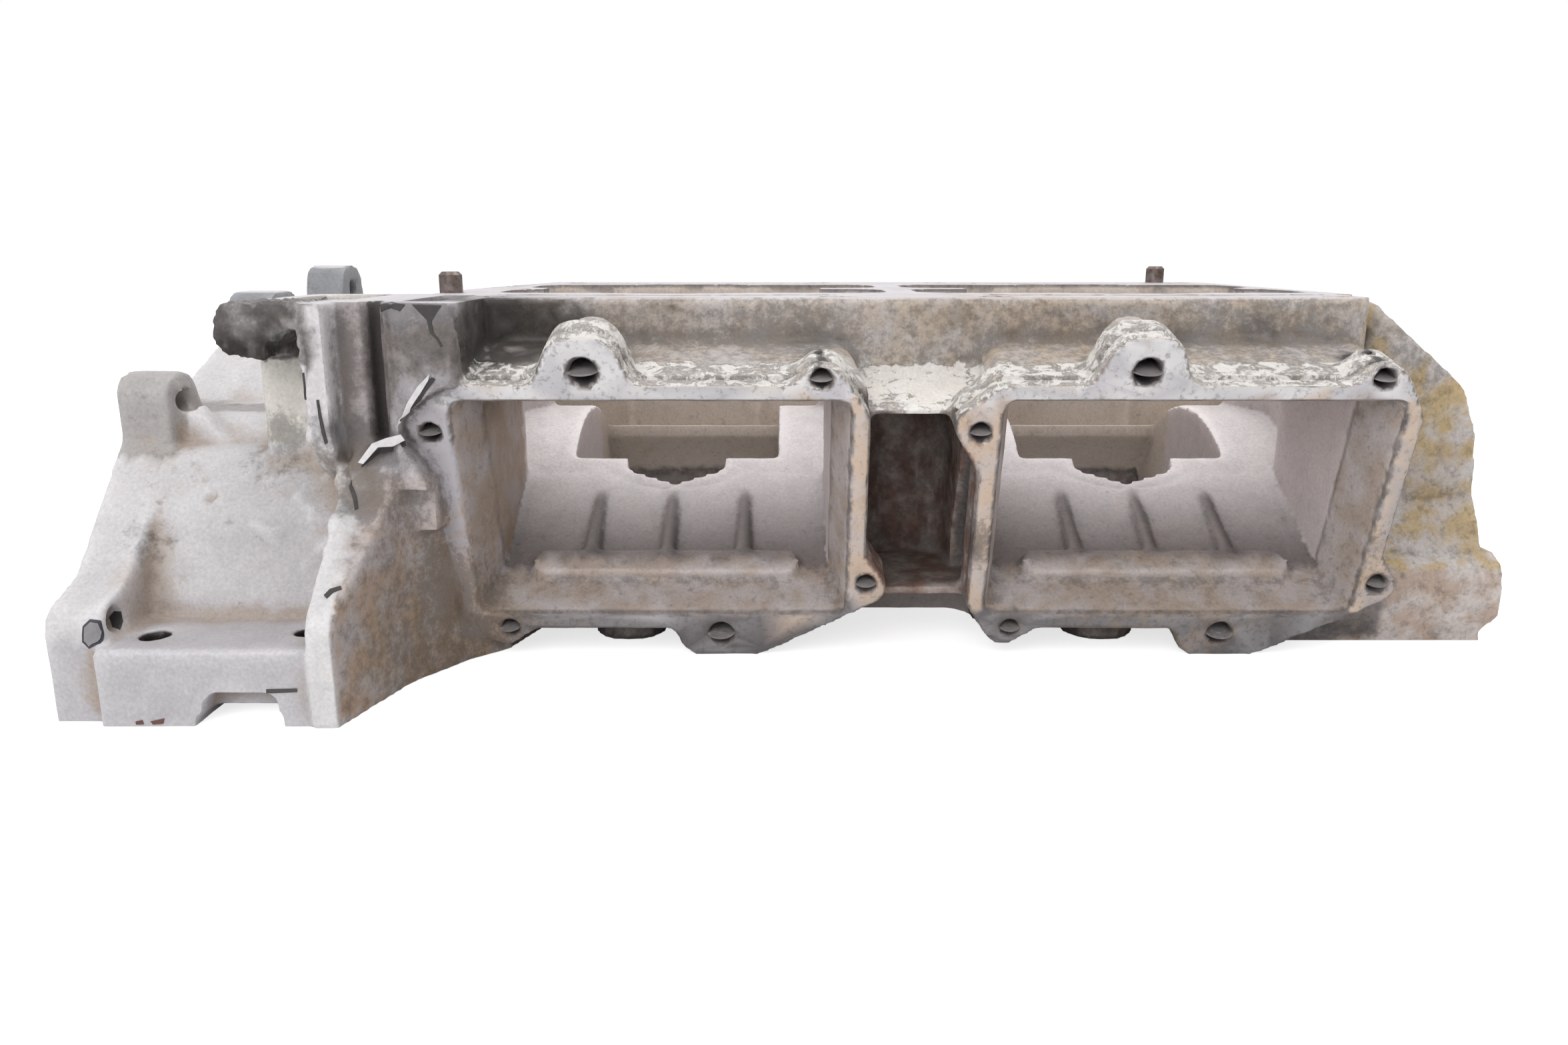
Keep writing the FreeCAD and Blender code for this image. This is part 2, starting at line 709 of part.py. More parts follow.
def tower_hollows():
    """Two cells open at the tower's top, and the groove beside the column."""
    top = deck_height
    w = tower_wall
    left_plan = rectangle(-tower_left + w, -tower_fin_left + 6, -tower_left_front + w, -tower_back - w, 4)
    left = prism(left_plan, plan(top - cell_depth_left), Vector(0, 0, top))
    right_plan = rectangle(-column_left + w - 1, -column_right - 7, -tower_front + w, -tower_back - 8, 4)
    right = prism(right_plan, plan(top - cell_depth_right), Vector(0, 0, top))
    groove_left = -column_left - groove_width
    front_y = -tower_front - column_stand
    groove = prism(
        [(groove_left - 1, front_y - 3, 0), (-column_left + 1, front_y - 3, 0),
         (-column_left - 0.5, front_y + groove_depth, 1), (groove_left + 1, front_y + groove_depth, 1)],
        plan(tower_foot + 24), Vector(0, 0, top),
    )
    return [left, right, groove]


def output_end():
    """Half-round housing of the output bearing, with its sloping shoulder up to the deck."""
    start = deck_right - 20
    drum = rod(end_radius, end_right - 4 - start, Vector(start, 0, 0), Vector(1, 0, 0))
    drum = drum.common(box(start, end_right, -100, 100, 0, 100))
    slope = [
        (start, 0, 0), (start, deck_height - 1, 0), (deck_right + 3, deck_height - 2, 3),
        (end_shoulder_x, deck_height - end_shoulder_drop, 10), (end_face_top + 1.5, 60, 6),
        (end_right - 1, 0, 0),
    ]
    gable = prism(slope, front(-end_half_depth), Vector(0, 2 * end_half_depth, 0))
    back = end_flange_front + 6
    foot_edge = [
        (-end_flange_front + 2.5, 0, 0), (-end_flange_front, 7, 1), (-end_flange_front, end_flange_height, 1),
        (-end_radius + 1, 26, 8), (0, 30, 0), (end_radius, 26, 8), (back, end_flange_height, 1), (back, 0, 0),
    ]
    foot = prism(foot_edge, side(start), Vector(end_right - start, 0, 0))
    wedge = [(end_right - 8, -1, 0), (end_right + 1, -1, 0), (end_right + 1, 9, 0)]
    chamfer = prism(wedge, front(-end_flange_front - 1), Vector(0, 2 * end_flange_front + 9, 0))
    return [drum, gable, foot.cut(chamfer)]


def end_recess():
    """Narrow hollow between the deck's corner and the output end's shoulder."""
    recess_plan = [
        (end_recess_left, -90, 0), (end_recess_right, -90, 0), (end_recess_right + 1, -52, 3),
        (end_recess_left, -52, 3),
    ]
    return prism(recess_plan, plan(deck_height - end_recess_depth), Vector(0, 0, deck_height))


def flange_tappings(centre_x):
    """Six tapped holes with a light countersink."""
    up, inward = tilt()
    cuts = []
    for u, v, r in flange_holes:
        mouth = flange_plane(centre_x)(u, v)
        depth = m8_tapped_depth if r == m8_thread_radius else m6_tapped_depth
        cuts.append(rod(r, depth + 1, mouth - inward, inward))
        deep = countersink + 0.5
        cuts.append(Part.makeCone(r + deep, r - 0.02, deep, mouth - inward * 0.5, inward))
    return cuts


def main_bolts():
    """Main bolt holes: through the rear flange, tapped upwards beside the bearings and in the front."""
    up = Vector(0, 0, 1)
    row_y = deck_half_depth + rear_flange_step - split_bolt_inset
    cuts = []
    for x in main_bolt_row():
        cuts.append(rod(main_bolt_radius, main_bolt_boss_height + 2, Vector(x, row_y, -1), up))
    tapped = [(x - main_bolt_offset, -front_bolt_y) for x in cylinder_places]
    tapped += [(i * centre_bolt_x, j * centre_bolt_y) for i in (-1, 1) for j in (-1, 1)]
    for x, y in tapped:
        cuts.append(rod(split_tap_radius, split_tap_depth + 1, Vector(x, y, -1), up))
    for row in (-1, 1):
        cuts.append(rod(split_tap_radius, 13, Vector(end_bolt_x, row * end_bolt_y, -1), up))
    return cuts


def below_split():
    """Everything under the split plane, which is machined away."""
    reach = bell_left + end_right
    return box(-reach, reach, -reach, reach, -deck_height, 0)


def casting():
    """The whole casting: outer forms joined, then every space cut out of it."""
    forms = [block(), neck(), wedge_wall()] + split_flange_back() + front_bosses() + bell()
    forms += tower() + output_end() + middle_web()
    for x in cylinder_places:
        forms += reed_port(x)
    plates, rooms = zip(*[reed_flange(x) for x in cylinder_places])
    body = joined(forms).cut(middle_pocket() + list(rooms))
    body = joined([body] + list(plates))
    cuts = bell_hollow() + bell_holes() + tower_hollows() + saddles() + main_bolts() + [end_recess()]
    for x in cylinder_places:
        cuts += [plenum(x), port_passage(x), crank_chamber(x)]
        cuts += jacket_slots(x) + stud_holes(x) + flange_tappings(x)
    for x, y in (dowel_left_at, dowel_right_at):
        cuts.append(rod(dowel_radius, dowel_seat + 1, Vector(x, y, deck_height - dowel_seat), Vector(0, 0, 1)))
    plug_start = Vector(end_face_top - plug_seat, plug_at[0], plug_at[1])
    cuts.append(rod(plug_radius, plug_seat + 20, plug_start, Vector(1, 0, 0)))
    cuts.append(below_split())
    body = body.cut(cuts)
    for x in cylinder_places:
        body = body.fuse(floor_ribs(x))
    return body.removeSplitter()


def dowel(place):
    """Hollow-ended steel dowel pin with a small lead at its top."""
    x, y = place
    low = deck_height - dowel_seat
    high = deck_height + dowel_stand
    lead = 1.0
    profile = [
        Vector(0, 0, low), Vector(dowel_radius, 0, low), Vector(dowel_radius, 0, high - lead),
        Vector(dowel_radius - lead, 0, high), Vector(0, 0, high), Vector(0, 0, low),
    ]
    pin = Part.Face(Part.makePolygon(profile)).revolve(Vector(0, 0, 0), Vector(0, 0, 1), 360)
    pin.translate(Vector(x, y, 0))
    return pin


def plug():
    """Domed plug pressed into the output end."""
    start = Vector(end_face_top - plug_seat, plug_at[0], plug_at[1])
    body = rod(plug_radius, plug_seat + plug_stand, start, Vector(1, 0, 0))
    outer_end = start.x + plug_seat + plug_stand - 0.01
    return body.makeFillet(1.2, [e for e in body.Edges if e.CenterOfMass.x > outer_end])


def write(name, shape):
    """One STEP file per piece."""
    shape.exportStep(os.path.join("parts", name + ".step"))
    box_size = shape.BoundBox
    ends = (box_size.XMin, box_size.XMax, box_size.YMin, box_size.YMax, box_size.ZMin, box_size.ZMax)
    volume = round(shape.Volume / 1000, 1)
    print(name, len(shape.Solids), shape.isValid(), volume, "cm3", [round(v, 1) for v in ends])


os.makedirs("parts", exist_ok=True)
write("upper_crankcase_half", casting())
write("deck_dowel_left", dowel(dowel_left_at))
write("deck_dowel_right", dowel(dowel_right_at))
write("gallery_plug", plug())
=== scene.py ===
import json
import math

import bpy
import numpy
from mathutils import Matrix, Vector, noise

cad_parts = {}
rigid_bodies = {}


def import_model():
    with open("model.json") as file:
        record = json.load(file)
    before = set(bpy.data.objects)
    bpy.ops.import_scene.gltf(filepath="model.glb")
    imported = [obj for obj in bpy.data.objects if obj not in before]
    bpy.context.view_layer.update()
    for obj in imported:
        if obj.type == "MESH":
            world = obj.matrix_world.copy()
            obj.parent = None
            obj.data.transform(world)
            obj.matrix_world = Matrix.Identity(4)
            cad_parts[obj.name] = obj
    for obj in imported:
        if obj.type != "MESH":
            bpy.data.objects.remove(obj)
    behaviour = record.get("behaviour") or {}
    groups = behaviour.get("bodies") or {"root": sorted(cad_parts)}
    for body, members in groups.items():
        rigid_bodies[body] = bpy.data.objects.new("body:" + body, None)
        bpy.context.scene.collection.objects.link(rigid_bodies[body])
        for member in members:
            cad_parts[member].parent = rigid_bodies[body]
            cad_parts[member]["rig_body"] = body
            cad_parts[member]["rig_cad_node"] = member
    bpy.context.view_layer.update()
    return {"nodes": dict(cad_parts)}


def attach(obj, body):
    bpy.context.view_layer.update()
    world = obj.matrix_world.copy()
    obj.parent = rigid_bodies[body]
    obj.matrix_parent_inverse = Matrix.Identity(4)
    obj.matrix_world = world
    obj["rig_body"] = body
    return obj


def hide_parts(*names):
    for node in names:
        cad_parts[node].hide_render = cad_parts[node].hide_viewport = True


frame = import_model()


# The casting: one sand-cast aluminium piece, once painted light grey, now worn, stained and chalky.
# Its skin is soft-edged and slightly lumpy from the sand mould, and its joint faces are milled flat.
# The finished skin is made from a copy of the casting's solid, so it stays where the solid is.

def deselect_all():
    """Clears the selection, also of the CAD nodes that are selected after loading."""
    for other in bpy.context.view_layer.objects:
        other.select_set(False)


def only(piece):
    """Selects one object and makes it the one the next operator works on."""
    deselect_all()
    piece.select_set(True)
    bpy.context.view_layer.objects.active = piece


solid = frame["nodes"]["upper_crankcase_half"]
casting = solid.copy()
casting.data = solid.data.copy()
bpy.context.scene.collection.objects.link(casting)
casting.name = casting.data.name = "casting_skin"
casting.parent = None
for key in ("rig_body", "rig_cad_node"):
    del casting[key]
only(casting)
bpy.ops.object.mode_set(mode="EDIT")
bpy.ops.mesh.select_all(action="SELECT")
bpy.ops.mesh.remove_doubles(threshold=0.000002)
bpy.ops.object.mode_set(mode="OBJECT")

# Skin of even, small quads, 1 mm wide, fine enough to carry the soft edges and the sand grain.
grain_size = 0.001
remesh = casting.modifiers.new("sand", "REMESH")
remesh.mode = "VOXEL"
remesh.voxel_size = grain_size
bpy.ops.object.modifier_apply(modifier="sand")

# Places on the casting, in millimetres and in the frame of its solid.
deck_top = 102.0
bell_end = -219.0
widest_seat = 40.0
cylinder_offset = 72.0
port_half_width = 54.0
flange_middle = Vector((0, -98.1, 45.8))
flange_tilt = math.radians(15.76)
flange_out = Vector((0, -math.cos(flange_tilt), -math.sin(flange_tilt)))
flange_up = Vector((0, -math.sin(flange_tilt), math.cos(flange_tilt)))
# Tapped holes of a reed flange, from the flange's middle: across, up, core radius and thread pitch.
flange_holes = [(-57.8, 23.4, 2.5, 1.0), (-16.6, 40.3, 3.4, 1.25), (44.3, 38.4, 2.5, 1.0),
                (57.8, -23.4, 2.5, 1.0), (16.6, -40.3, 3.4, 1.25), (-44.3, -38.4, 2.5, 1.0)]
# Upright bolt holes of the bell's split ledge: x, y.
ledge_holes = [(-197.3, -124.5), (-159.0, -122.0)]


def port_place(p):
    """Across, up and depth of a point (mm) on the nearer reed flange; depth is positive behind its face."""
    across = p.x - math.copysign(cylinder_offset, p.x)
    rest = Vector((0, p.y, p.z)) - flange_middle
    return across, rest.dot(flange_up), -rest.dot(flange_out)


def on_flange(across, up):
    """Whether a place on the plane of a reed flange is within the flange's reach."""
    return abs(across) < 70 and -50 < up < 53


def in_tapped_hole(across, up, margin):
    """Whether a place on a reed flange is in a tapped hole, or within a margin round it."""
    return any(math.hypot(across - u, up - v) < radius + margin for u, v, radius, pitch in flange_holes)


def port_floor(y):
    """Height of the sloping floor of a reed port, which rises towards the crank chamber."""
    return 13.66 + (y + 89.03) * 0.667


def machined(p, n):
    """Whether a point (mm) with a normal lies on a face that was milled or bored."""
    if n.z > 0.9 and p.z > deck_top - 0.8 and not (p.x < -158 and p.y < -90):
        return True
    if n.z < -0.9 and p.z < 0.9:
        return True
    if n.x < -0.9 and p.x < bell_end + 1:
        return True
    across, up, depth = port_place(p)
    if abs(depth) < 0.9 and n.dot(flange_out) > 0.9 and abs(across) < 70 and abs(up) < 52:
        return p.x > -118 or p.z < 84
    if -1 < depth < 21 and abs(n.dot(flange_out)) < 0.5 and abs(across) < 62:
        if in_tapped_hole(across, up, 0.6):
            return True
    ring = math.hypot(p.y, p.z)
    if ring < widest_seat + 1 and Vector((0, n.y, n.z)).dot(Vector((0, p.y, p.z))) < -0.8 * ring:
        return True
    return False


def inside(p):
    """Whether a point (mm) is on a wall of a port, a plenum or a crank chamber."""
    across, up, depth = port_place(p)
    if abs(across) < port_half_width and up < 34.0 and 1.0 < depth < 62 and p.y < -30:
        if p.z > port_floor(p.y) - 1.62:
            return True
    if -48.5 < p.y < 48.5 and p.z < 101.0 and -128.5 < p.x < 128.5:
        return abs(p.x) > 2.5 or p.z < 50
    return False


def ease(value, start, end):
    """Smooth step from 0 at start to 1 at end."""
    t = min(max((value - start) / (end - start), 0.0), 1.0)
    return t * t * (3 - 2 * t)


# Cast edges are rounded all over, and the walls of the bell flow into each other more widely.
mesh = casting.data
soft = casting.vertex_groups.new(name="cast edges")
bell_soft = casting.vertex_groups.new(name="bell blends")
facing = [n.vector.copy() for n in mesh.vertex_normals]
for v in mesh.vertices:
    p = v.co * 1000
    if machined(p, facing[v.index]):
        continue
    soft.add([v.index], 1.0, "REPLACE")
    if -216 < p.x < -154.5 and 19.4 < p.z < 88 and (-129 < p.y < -60 or math.hypot(p.y, p.z) > 84):
        bell_soft.add([v.index], ease(p.x, -217, -211) * ease(p.x, -154, -158), "REPLACE")
for name, group, factor, rounds in (("edges", "cast edges", 0.5, 4), ("blends", "bell blends", 0.6, 18)):
    smooth = casting.modifiers.new(name, "SMOOTH")
    smooth.factor = factor
    smooth.iterations = rounds
    smooth.vertex_group = group
    bpy.ops.object.modifier_apply(modifier=name)


def spot(point, centre, radius):
    """1 in the middle of a round patch, fading to 0 at its edge."""
    return ease((Vector(point) - Vector(centre)).length, radius, radius * 0.35)


# Lumps, blisters and pits of the sand mould and the old paint, on the cast faces alone.
facing = [n.vector.copy() for n in mesh.vertex_normals]
for v in mesh.vertices:
    p = v.co * 1000
    if machined(p, facing[v.index]):
        continue
    lump = noise.fractal(p * 0.11, 1.0, 2.0, 3) * 0.14
    if p.x < -150 and p.z < 80:
        blister = max(0.0, noise.noise(p * 0.2) - 0.12) * 2.4
        lump += blister * spot(p, (-158, -110, 50), 40) + 0.12 * noise.noise(p * 0.06)
        lump -= 3.0 * max(0.0, noise.noise(p * 0.37) - 0.42) * spot(p, (-196, -104, 44), 24)
    if p.x < -158 and p.z > 86 and p.y < -92:
        lump += 0.9 * noise.noise(p * 0.3) + 0.7 * noise.noise(p * 0.7)
    if p.x > 128 and p.y < -50:
        lump += 0.12 * noise.noise(p * 0.45)
    if -122 < p.x < 128 and -83 < p.y < -77 and p.z > 84:
        lump -= 2.2 * max(0.0, noise.noise(p * 0.3 + Vector((7, 0, 3))) - 0.4)
    across, up, depth = port_place(p)
    if 4.2 < depth < 6.2 and on_flange(across, up) and abs(facing[v.index].dot(flange_out)) < 0.4:
        # Parting groove round the rim of the reed flange
        if not (abs(across) < port_half_width and abs(up) < 34.5) and not (p.x < -118 and up < 21):
            lump -= 0.8
    v.co += facing[v.index] * lump * 0.001

# How far each point lies in a hollow (above 0) or on an edge (below 0), for the dirt and painted shade in
# the hollows, and for the rubbed edges and their painted highlight.
# It is measured twice, for small and for wide hollows; full_bend and full_wide_bend (m) count as 1.
full_bend, full_wide_bend = 0.00005, 0.00002
count = len(mesh.vertices)
spots = numpy.empty(count * 3)
mesh.vertices.foreach_get("co", spots)
spots = spots.reshape(count, 3)
ways = numpy.empty(count * 3)
mesh.vertex_normals.foreach_get("vector", ways)
ways = ways.reshape(count, 3)
pairs = numpy.empty(len(mesh.edges) * 2, dtype=numpy.int32)
mesh.edges.foreach_get("vertices", pairs)
pairs = pairs.reshape(-1, 2)
degree = numpy.maximum(numpy.bincount(pairs.ravel(), minlength=count), 1)


def around(values):
    """Mean of a value over each vertex's neighbours."""
    near = numpy.bincount(pairs[:, 0], weights=values[pairs[:, 1]], minlength=count)
    return (near + numpy.bincount(pairs[:, 1], weights=values[pairs[:, 0]], minlength=count)) / degree


bend = sum((around(spots[:, axis]) - spots[:, axis]) * ways[:, axis] for axis in range(3))
for step in range(6):
    bend = (bend + around(bend)) / 2
fine_bend = numpy.clip(bend / full_bend, -1, 1)
for step in range(24):
    bend = (bend + around(bend)) / 2
wide_bend = numpy.clip(bend / full_wide_bend, -1, 1)
for name, values in (("fine bend", fine_bend), ("wide bend", wide_bend)):
    mesh.attributes.new(name, "FLOAT", "POINT")
    mesh.attributes[name].data.foreach_set("value", values)

skin_triangles = 185000
thin = casting.modifiers.new("thin out", "DECIMATE")
thin.ratio = skin_triangles / (2 * len(mesh.polygons))
bpy.ops.object.modifier_apply(modifier="thin out")


def linear(code):
    """Linear colour, with alpha, from an sRGB hex value."""
    parts = [int(code[i:i + 2], 16) / 255 for i in (1, 3, 5)]
    return [c / 12.92 if c <= 0.04045 else ((c + 0.055) / 1.055) ** 2.4 for c in parts] + [1.0]


# What the skin of each region looks like: colour, then the shares of grime, tan stain, chalk and lumps.
coats = {
    "bell": ("#d0cdcf", 0.04, 0.10, 0.00, 0.22),
    "ledge": ("#c0bdc1", 0.03, 0.05, 0.00, 0.08),
    "ear": ("#a9a5a4", 0.18, 0.10, 0.00, 0.20),
    "back ear": ("#8b8c90", 0.20, 0.00, 0.00, 0.15),
    "shoulder": ("#a9a4a4", 0.22, 0.16, 0.05, 0.45),
    "plate side": ("#a7a3a3", 0.24, 0.30, 0.12, 0.30),
    "plate rim": ("#d2cfd0", 0.03, 0.04, 0.00, 0.08),
    "wedge": ("#b6aeae", 0.38, 0.28, 0.00, 0.45),
    "panel": ("#d9d5ce", 0.04, 0.16, 0.00, 0.20),
    "fin": ("#cfcbcd", 0.18, 0.06, 0.06, 0.30),
    "brown panel": ("#a39b9b", 0.38, 0.18, 0.02, 0.40),
    "column": ("#9a9598", 0.34, 0.05, 0.02, 0.40),
    "stub": ("#a09c9c", 0.54, 0.00, 0.06, 1.00),
    # The groove's dark colour is partly grime and partly painted shade in the recess.
    "groove": ("#5d5856", 0.50, 0.05, 0.02, 0.50),
    "deck wall": ("#c2bbb8", 0.40, 0.28, 0.06, 0.60),
    "deck back": ("#a9a19d", 0.36, 0.26, 0.10, 0.60),
    "rim": ("#cdc5be", 0.26, 0.16, 0.56, 0.80),
    "rim low": ("#8f8887", 0.42, 0.24, 0.12, 0.50),
    "shelf": ("#eeecea", 0.10, 0.05, 0.70, 0.60),
    "pocket": ("#b0a49f", 0.44, 0.22, 0.05, 0.50),
    "port": ("#d6cccb", 0.10, 0.10, 0.02, 0.25),
    # The port floor's dark is painted shade under the port's roof; the crown's near white is painted light
    # falling through the deck opening.
    "port floor": ("#7d7574", 0.20, 0.08, 0.02, 0.30),
    "port crown painted light": ("#f6f0f1", 0.04, 0.08, 0.02, 0.30),
    "port mouth": ("#bdb5b4", 0.22, 0.18, 0.02, 0.25),
    "left wall": ("#b5a9a4", 0.16, 0.26, 0.02, 0.30),
    "far wall": ("#d2c6bb", 0.16, 0.30, 0.02, 0.25),
    "belly": ("#847d7b", 0.40, 0.20, 0.10, 0.50),
    "end": ("#cfc8c5", 0.32, 0.26, 0.10, 1.00),
    "end foot": ("#d0c6c2", 0.32, 0.30, 0.10, 0.60),
    # Holes are painted dark grey, as shade inside them.
    "hole": ("#5a5657", 0.20, 0.00, 0.00, 0.10),
    # The underside's dark colour is painted shade under the reed flanges.
    "under": ("#5a5250", 0.50, 0.10, 0.00, 0.50),
    "milled": ("#c3bfc3", 0.10, 0.25, 0.00, 0.10),
    "face top": ("#b9b6ba", 0.30, 0.10, 0.06, 0.20),
    "face left": ("#aea9ae", 0.16, 0.08, 0.00, 0.15),
    "face low": ("#928f91", 0.36, 0.12, 0.06, 0.20),
    "face inner": ("#bfb3ad", 0.26, 0.30, 0.06, 0.20),
    "face right": ("#aaa1a0", 0.30, 0.20, 0.08, 0.20),
}
coats = {name: (Vector(linear(code)[:3]), Vector(shares)) for name, (code, *shares) in coats.items()}
# Second colour of the mottled coats: ochre and brown corrosion, paler or darker paint.
mottles = {
    "end": "#c6af88", "end foot": "#b8a497", "wedge": "#ad9480",
    "deck wall": "#c2b4a6", "face inner": "#c3ad9b", "port mouth": "#b0a197",
    "left wall": "#a8937f", "column": "#b3adb0", "stub": "#6b6766",
    "rim low": "#6f6967", "pocket": "#86695f", "face low": "#6d696a",
    "face top": "#d5d2d3", "face right": "#c3b09f", "shelf": "#c9b9a6",
}
mottles = {name: Vector(linear(code)[:3]) for name, code in mottles.items()}


def coat_at(p, n):
    """Name of the coat at a point (mm) with a normal."""
    across, up, depth = port_place(p)
    # Holes, then the milled faces, of which those of the reed flanges differ from place to place
    if 0.7 < depth < 23 and in_tapped_hole(across, up, 0.9):
        return "hole"
    if p.z < 19.2 and p.y < -112 and any(math.hypot(p.x - x, p.y - y) < 4.6 for x, y in ledge_holes):
        return "hole"
    if machined(p, n):
        if abs(depth) > 1.2 or n.dot(flange_out) < 0.9:
            return "milled"
        wavy = 5 * noise.noise(p * 0.12)
        if up > 32.5 + wavy * 0.4:
            return "face top"
        if up < -32 + wavy:
            return "face low"
        if across < 0:
            return "face left" if p.x < 0 else "face inner"
        return "face right" if p.x > 0 else "face inner"
    # Hollows: the pocket between the ports, and the ports and chambers from their mouths inwards
    if abs(p.x) < 14.8 and -104 < p.y < -39.6 and 16 < p.z < 69.5:
        return "pocket"
    if inside(p):
        if depth < 17.5 and p.y < -60:
            return "port mouth"
        if p.y > 20 and p.z > 20:
            return "far wall"
        if n.z > 0.4:
            return "port floor"
        return "left wall" if n.x > 0.6 and p.y < -45 else "port"
    # Rims of the reed flanges, the shelf between them and the underside, whose dark colour is painted shade
    if -1.0 < depth < 15.5 and on_flange(across, up) and abs(p.x) > 5:
        if p.x < -118 and up < 21:
            return "face left" if up > 4 else "wedge"
        return "rim" if n.z > 0.25 and up > 0 else "rim low"
    if abs(p.x) < 34 and 66 < p.z < 84 and p.y < -60:
        return "shelf"
    if p.z < 12 and -90 < p.y < -40 and abs(p.x) < 112:
        return "under"
    # Output end
    if p.x > 130:
        return "end foot" if p.z < 22 else "end"
    # Tower between the bell and the deck
    if p.x < -156.6 and p.y < -91.5 and p.z > 86.5:
        return "stub"
    if p.x < -118 and p.y < -46 and p.z > 58 and not (p.x < -182 or (p.x < -151 and p.z < 64)):
        if p.x < -159.3 or (p.x < -158.0 and p.y > -103):
            return "panel"
        if p.x < -152.0 and p.y < -103.5:
            return "fin"
        if p.x < -145.0:
            return "brown panel"
        return "groove" if p.x < -141.2 and p.y > -108 else "column"
    # Flywheel bell, its end plate and the slanted wall that joins it to the left port
    if p.x < -200 and p.y > -40 and p.z > 88:
        return "back ear"
    if p.x < -153.7:
        if p.x < -203 and p.y < -60 and p.z > 60:
            return "ear"
        if p.z < 20.5 and p.y < -108:
            return "ledge"
        return "shoulder" if p.y < -60 and p.z > 60.5 and math.hypot(p.y, p.z) < 100 else "bell"
    if p.x < -146.8:
        return "plate rim" if abs(n.x) < 0.6 or n.x < 0 else "plate side"
    if p.x < -112 and p.y < -62 and p.z < 66:
        return "wedge"
    # Walls under the deck
    if p.y < -60 and p.z > 60:
        return "deck wall"
    return "deck back" if p.y > 50 else "belly"


# Where dirt, rust and corrosion have gathered: place, reach, and the shares of grime, tan stain and chalk
# that they add. The grime at the foot of the tower panel is painted shade.
patches = [
    ((-120, -84, 94), 16, (0.75, 0.0, 0.0)), ((-112, -82, 88), 18, (0.60, 0.0, 0.0)),
    ((-103, -80, 90), 18, (0.30, 0.0, 0.0)), ((-74, -80, 90), 26, (0.05, 0.30, 0.05)),
    ((-35, -80, 92), 24, (0.20, 0.05, 0.0)), ((28, -79, 92), 44, (0.05, 0.30, 0.05)),
    ((94, -79, 92), 36, (0.18, 0.05, 0.06)), ((-136, -104, 16), 26, (0.05, 0.45, 0.0)),
    ((-142, -119, 12), 18, (0.05, 0.30, 0.0)), ((-126, -90, 10), 20, (0.10, 0.30, 0.0)),
    ((-144, -108, 54), 12, (0.15, 0.40, 0.0)), ((-147, -111, 50), 9, (0.45, 0.0, 0.0)),
    # The grime of the patches at (-175, -95, 62) and (-172, -95, 68) is painted shade at the foot of the
    # tower panel.
    ((-175, -95, 62), 15, (0.35, 0.2, 0.0)), ((-154, -107, 58), 14, (0.25, 0.45, 0.0)),
    ((-204, -95, 57), 14, (0.15, 0.25, 0.0)), ((-130, -98, 10), 30, (0.15, 0.35, 0.0)),
    ((-128, -97, 26), 16, (0.25, 0.15, 0.0)), ((-203, -116, 30), 13, (0.10, 0.45, 0.0)),
    ((-203, -110, 42), 10, (0.40, 0.10, 0.0)), ((-172, -95, 68), 9, (0.40, 0.0, 0.0)),
    ((-134, -109, 101), 7, (0.60, 0.0, 0.0)), ((-125, -110, 99), 6, (0.60, 0.0, 0.0)),
    ((-122, -110, 94), 7, (0.0, 0.0, 0.12)), ((-148, -104, 88), 12, (0.20, 0.10, 0.0)),
    ((-150, -104, 64), 12, (0.45, 0.0, 0.0)), ((-143, -104, 64), 10, (0.40, 0.0, 0.0)),
    ((-120, -80, 44), 17, (0.0, 0.50, 0.0)), ((-122, -92, 42), 20, (0.0, 0.20, 0.05)),
    ((70, -87, 15), 44, (0.05, 0.30, 0.0)), ((124, -97, 30), 20, (0.10, 0.25, 0.0)),
    ((12, -95, 36), 12, (0.45, 0.0, 0.1)), ((-7, -60, 46), 22, (0.0, 0.20, 0.0)),
    ((165, -60, 42), 24, (0.0, 0.25, 0.05)), ((147, -60, 82), 20, (0.20, 0.0, 0.05)),
    ((-155, -109, 70), 10, (0.25, 0.0, 0.0)),
]

# Black, sooty deposits, most of them in the corner between the tower and the deck wall, and two patches
# of painted shade in a hollow at the output end: place, reach and strength.
deposits = [
    ((-120, -84, 93), 26, 1.0), ((-116, -78, 89), 26, 1.0), ((-106, -78, 90), 22, 1.0),
    ((-98, -78, 88), 15, 0.8), ((-120, -97, 93), 14, 1.0), ((-120, -89, 95), 14, 1.0),
    ((-113, -90, 87), 9, 0.6), ((-69, -78, 99.8), 3, 0.8), ((-178, -111, 90), 7, 0.9),
    ((-172, -111, 88), 8, 1.0), ((-166, -111, 90), 7, 0.9), ((-178, -111, 98), 6, 0.5),
    ((-168, -110, 95), 6, 0.5), ((-152, -111, 70), 5, 0.6), ((-151, -113, 52), 6, 0.5),
    # The two deposits at x = 131 are painted shade in the hollow behind the broken front wall of the output
    # end.
    ((-155, -104, 76), 5, 0.5), ((-132, -105, 66), 5, 0.4), ((131, -62, 92), 9, 1.0),
    ((131, -60, 86), 8, 0.8), ((20, -88, 62), 8, 0.4), ((14, -96, 36), 7, 0.6),
    ((-14, -84, 60), 8, 0.5), ((-138, -104, 101), 5, 0.6), ((-207, -110, 30), 6, 0.4),
    ((36, -79, 95), 7, 0.35), ((96, -79, 92), 9, 0.45), ((72, -79, 90), 7, 0.4),
    ((-30, -79, 90), 9, 0.35), ((12, -79, 97), 6, 0.4),
]
brown_dust = Vector(linear("#a08d80")[:3])
# Near black for the sooty deposits, and for the painted shade deep in the holes.
soot_and_hole_shade = Vector(linear("#262222")[:3])
rib_spacing = 22.5
skin_values, wear_values = [], []
facing = [n.vector.copy() for n in mesh.vertex_normals]
fine_bend = mesh.attributes["fine bend"].data
wide_bend = mesh.attributes["wide bend"].data
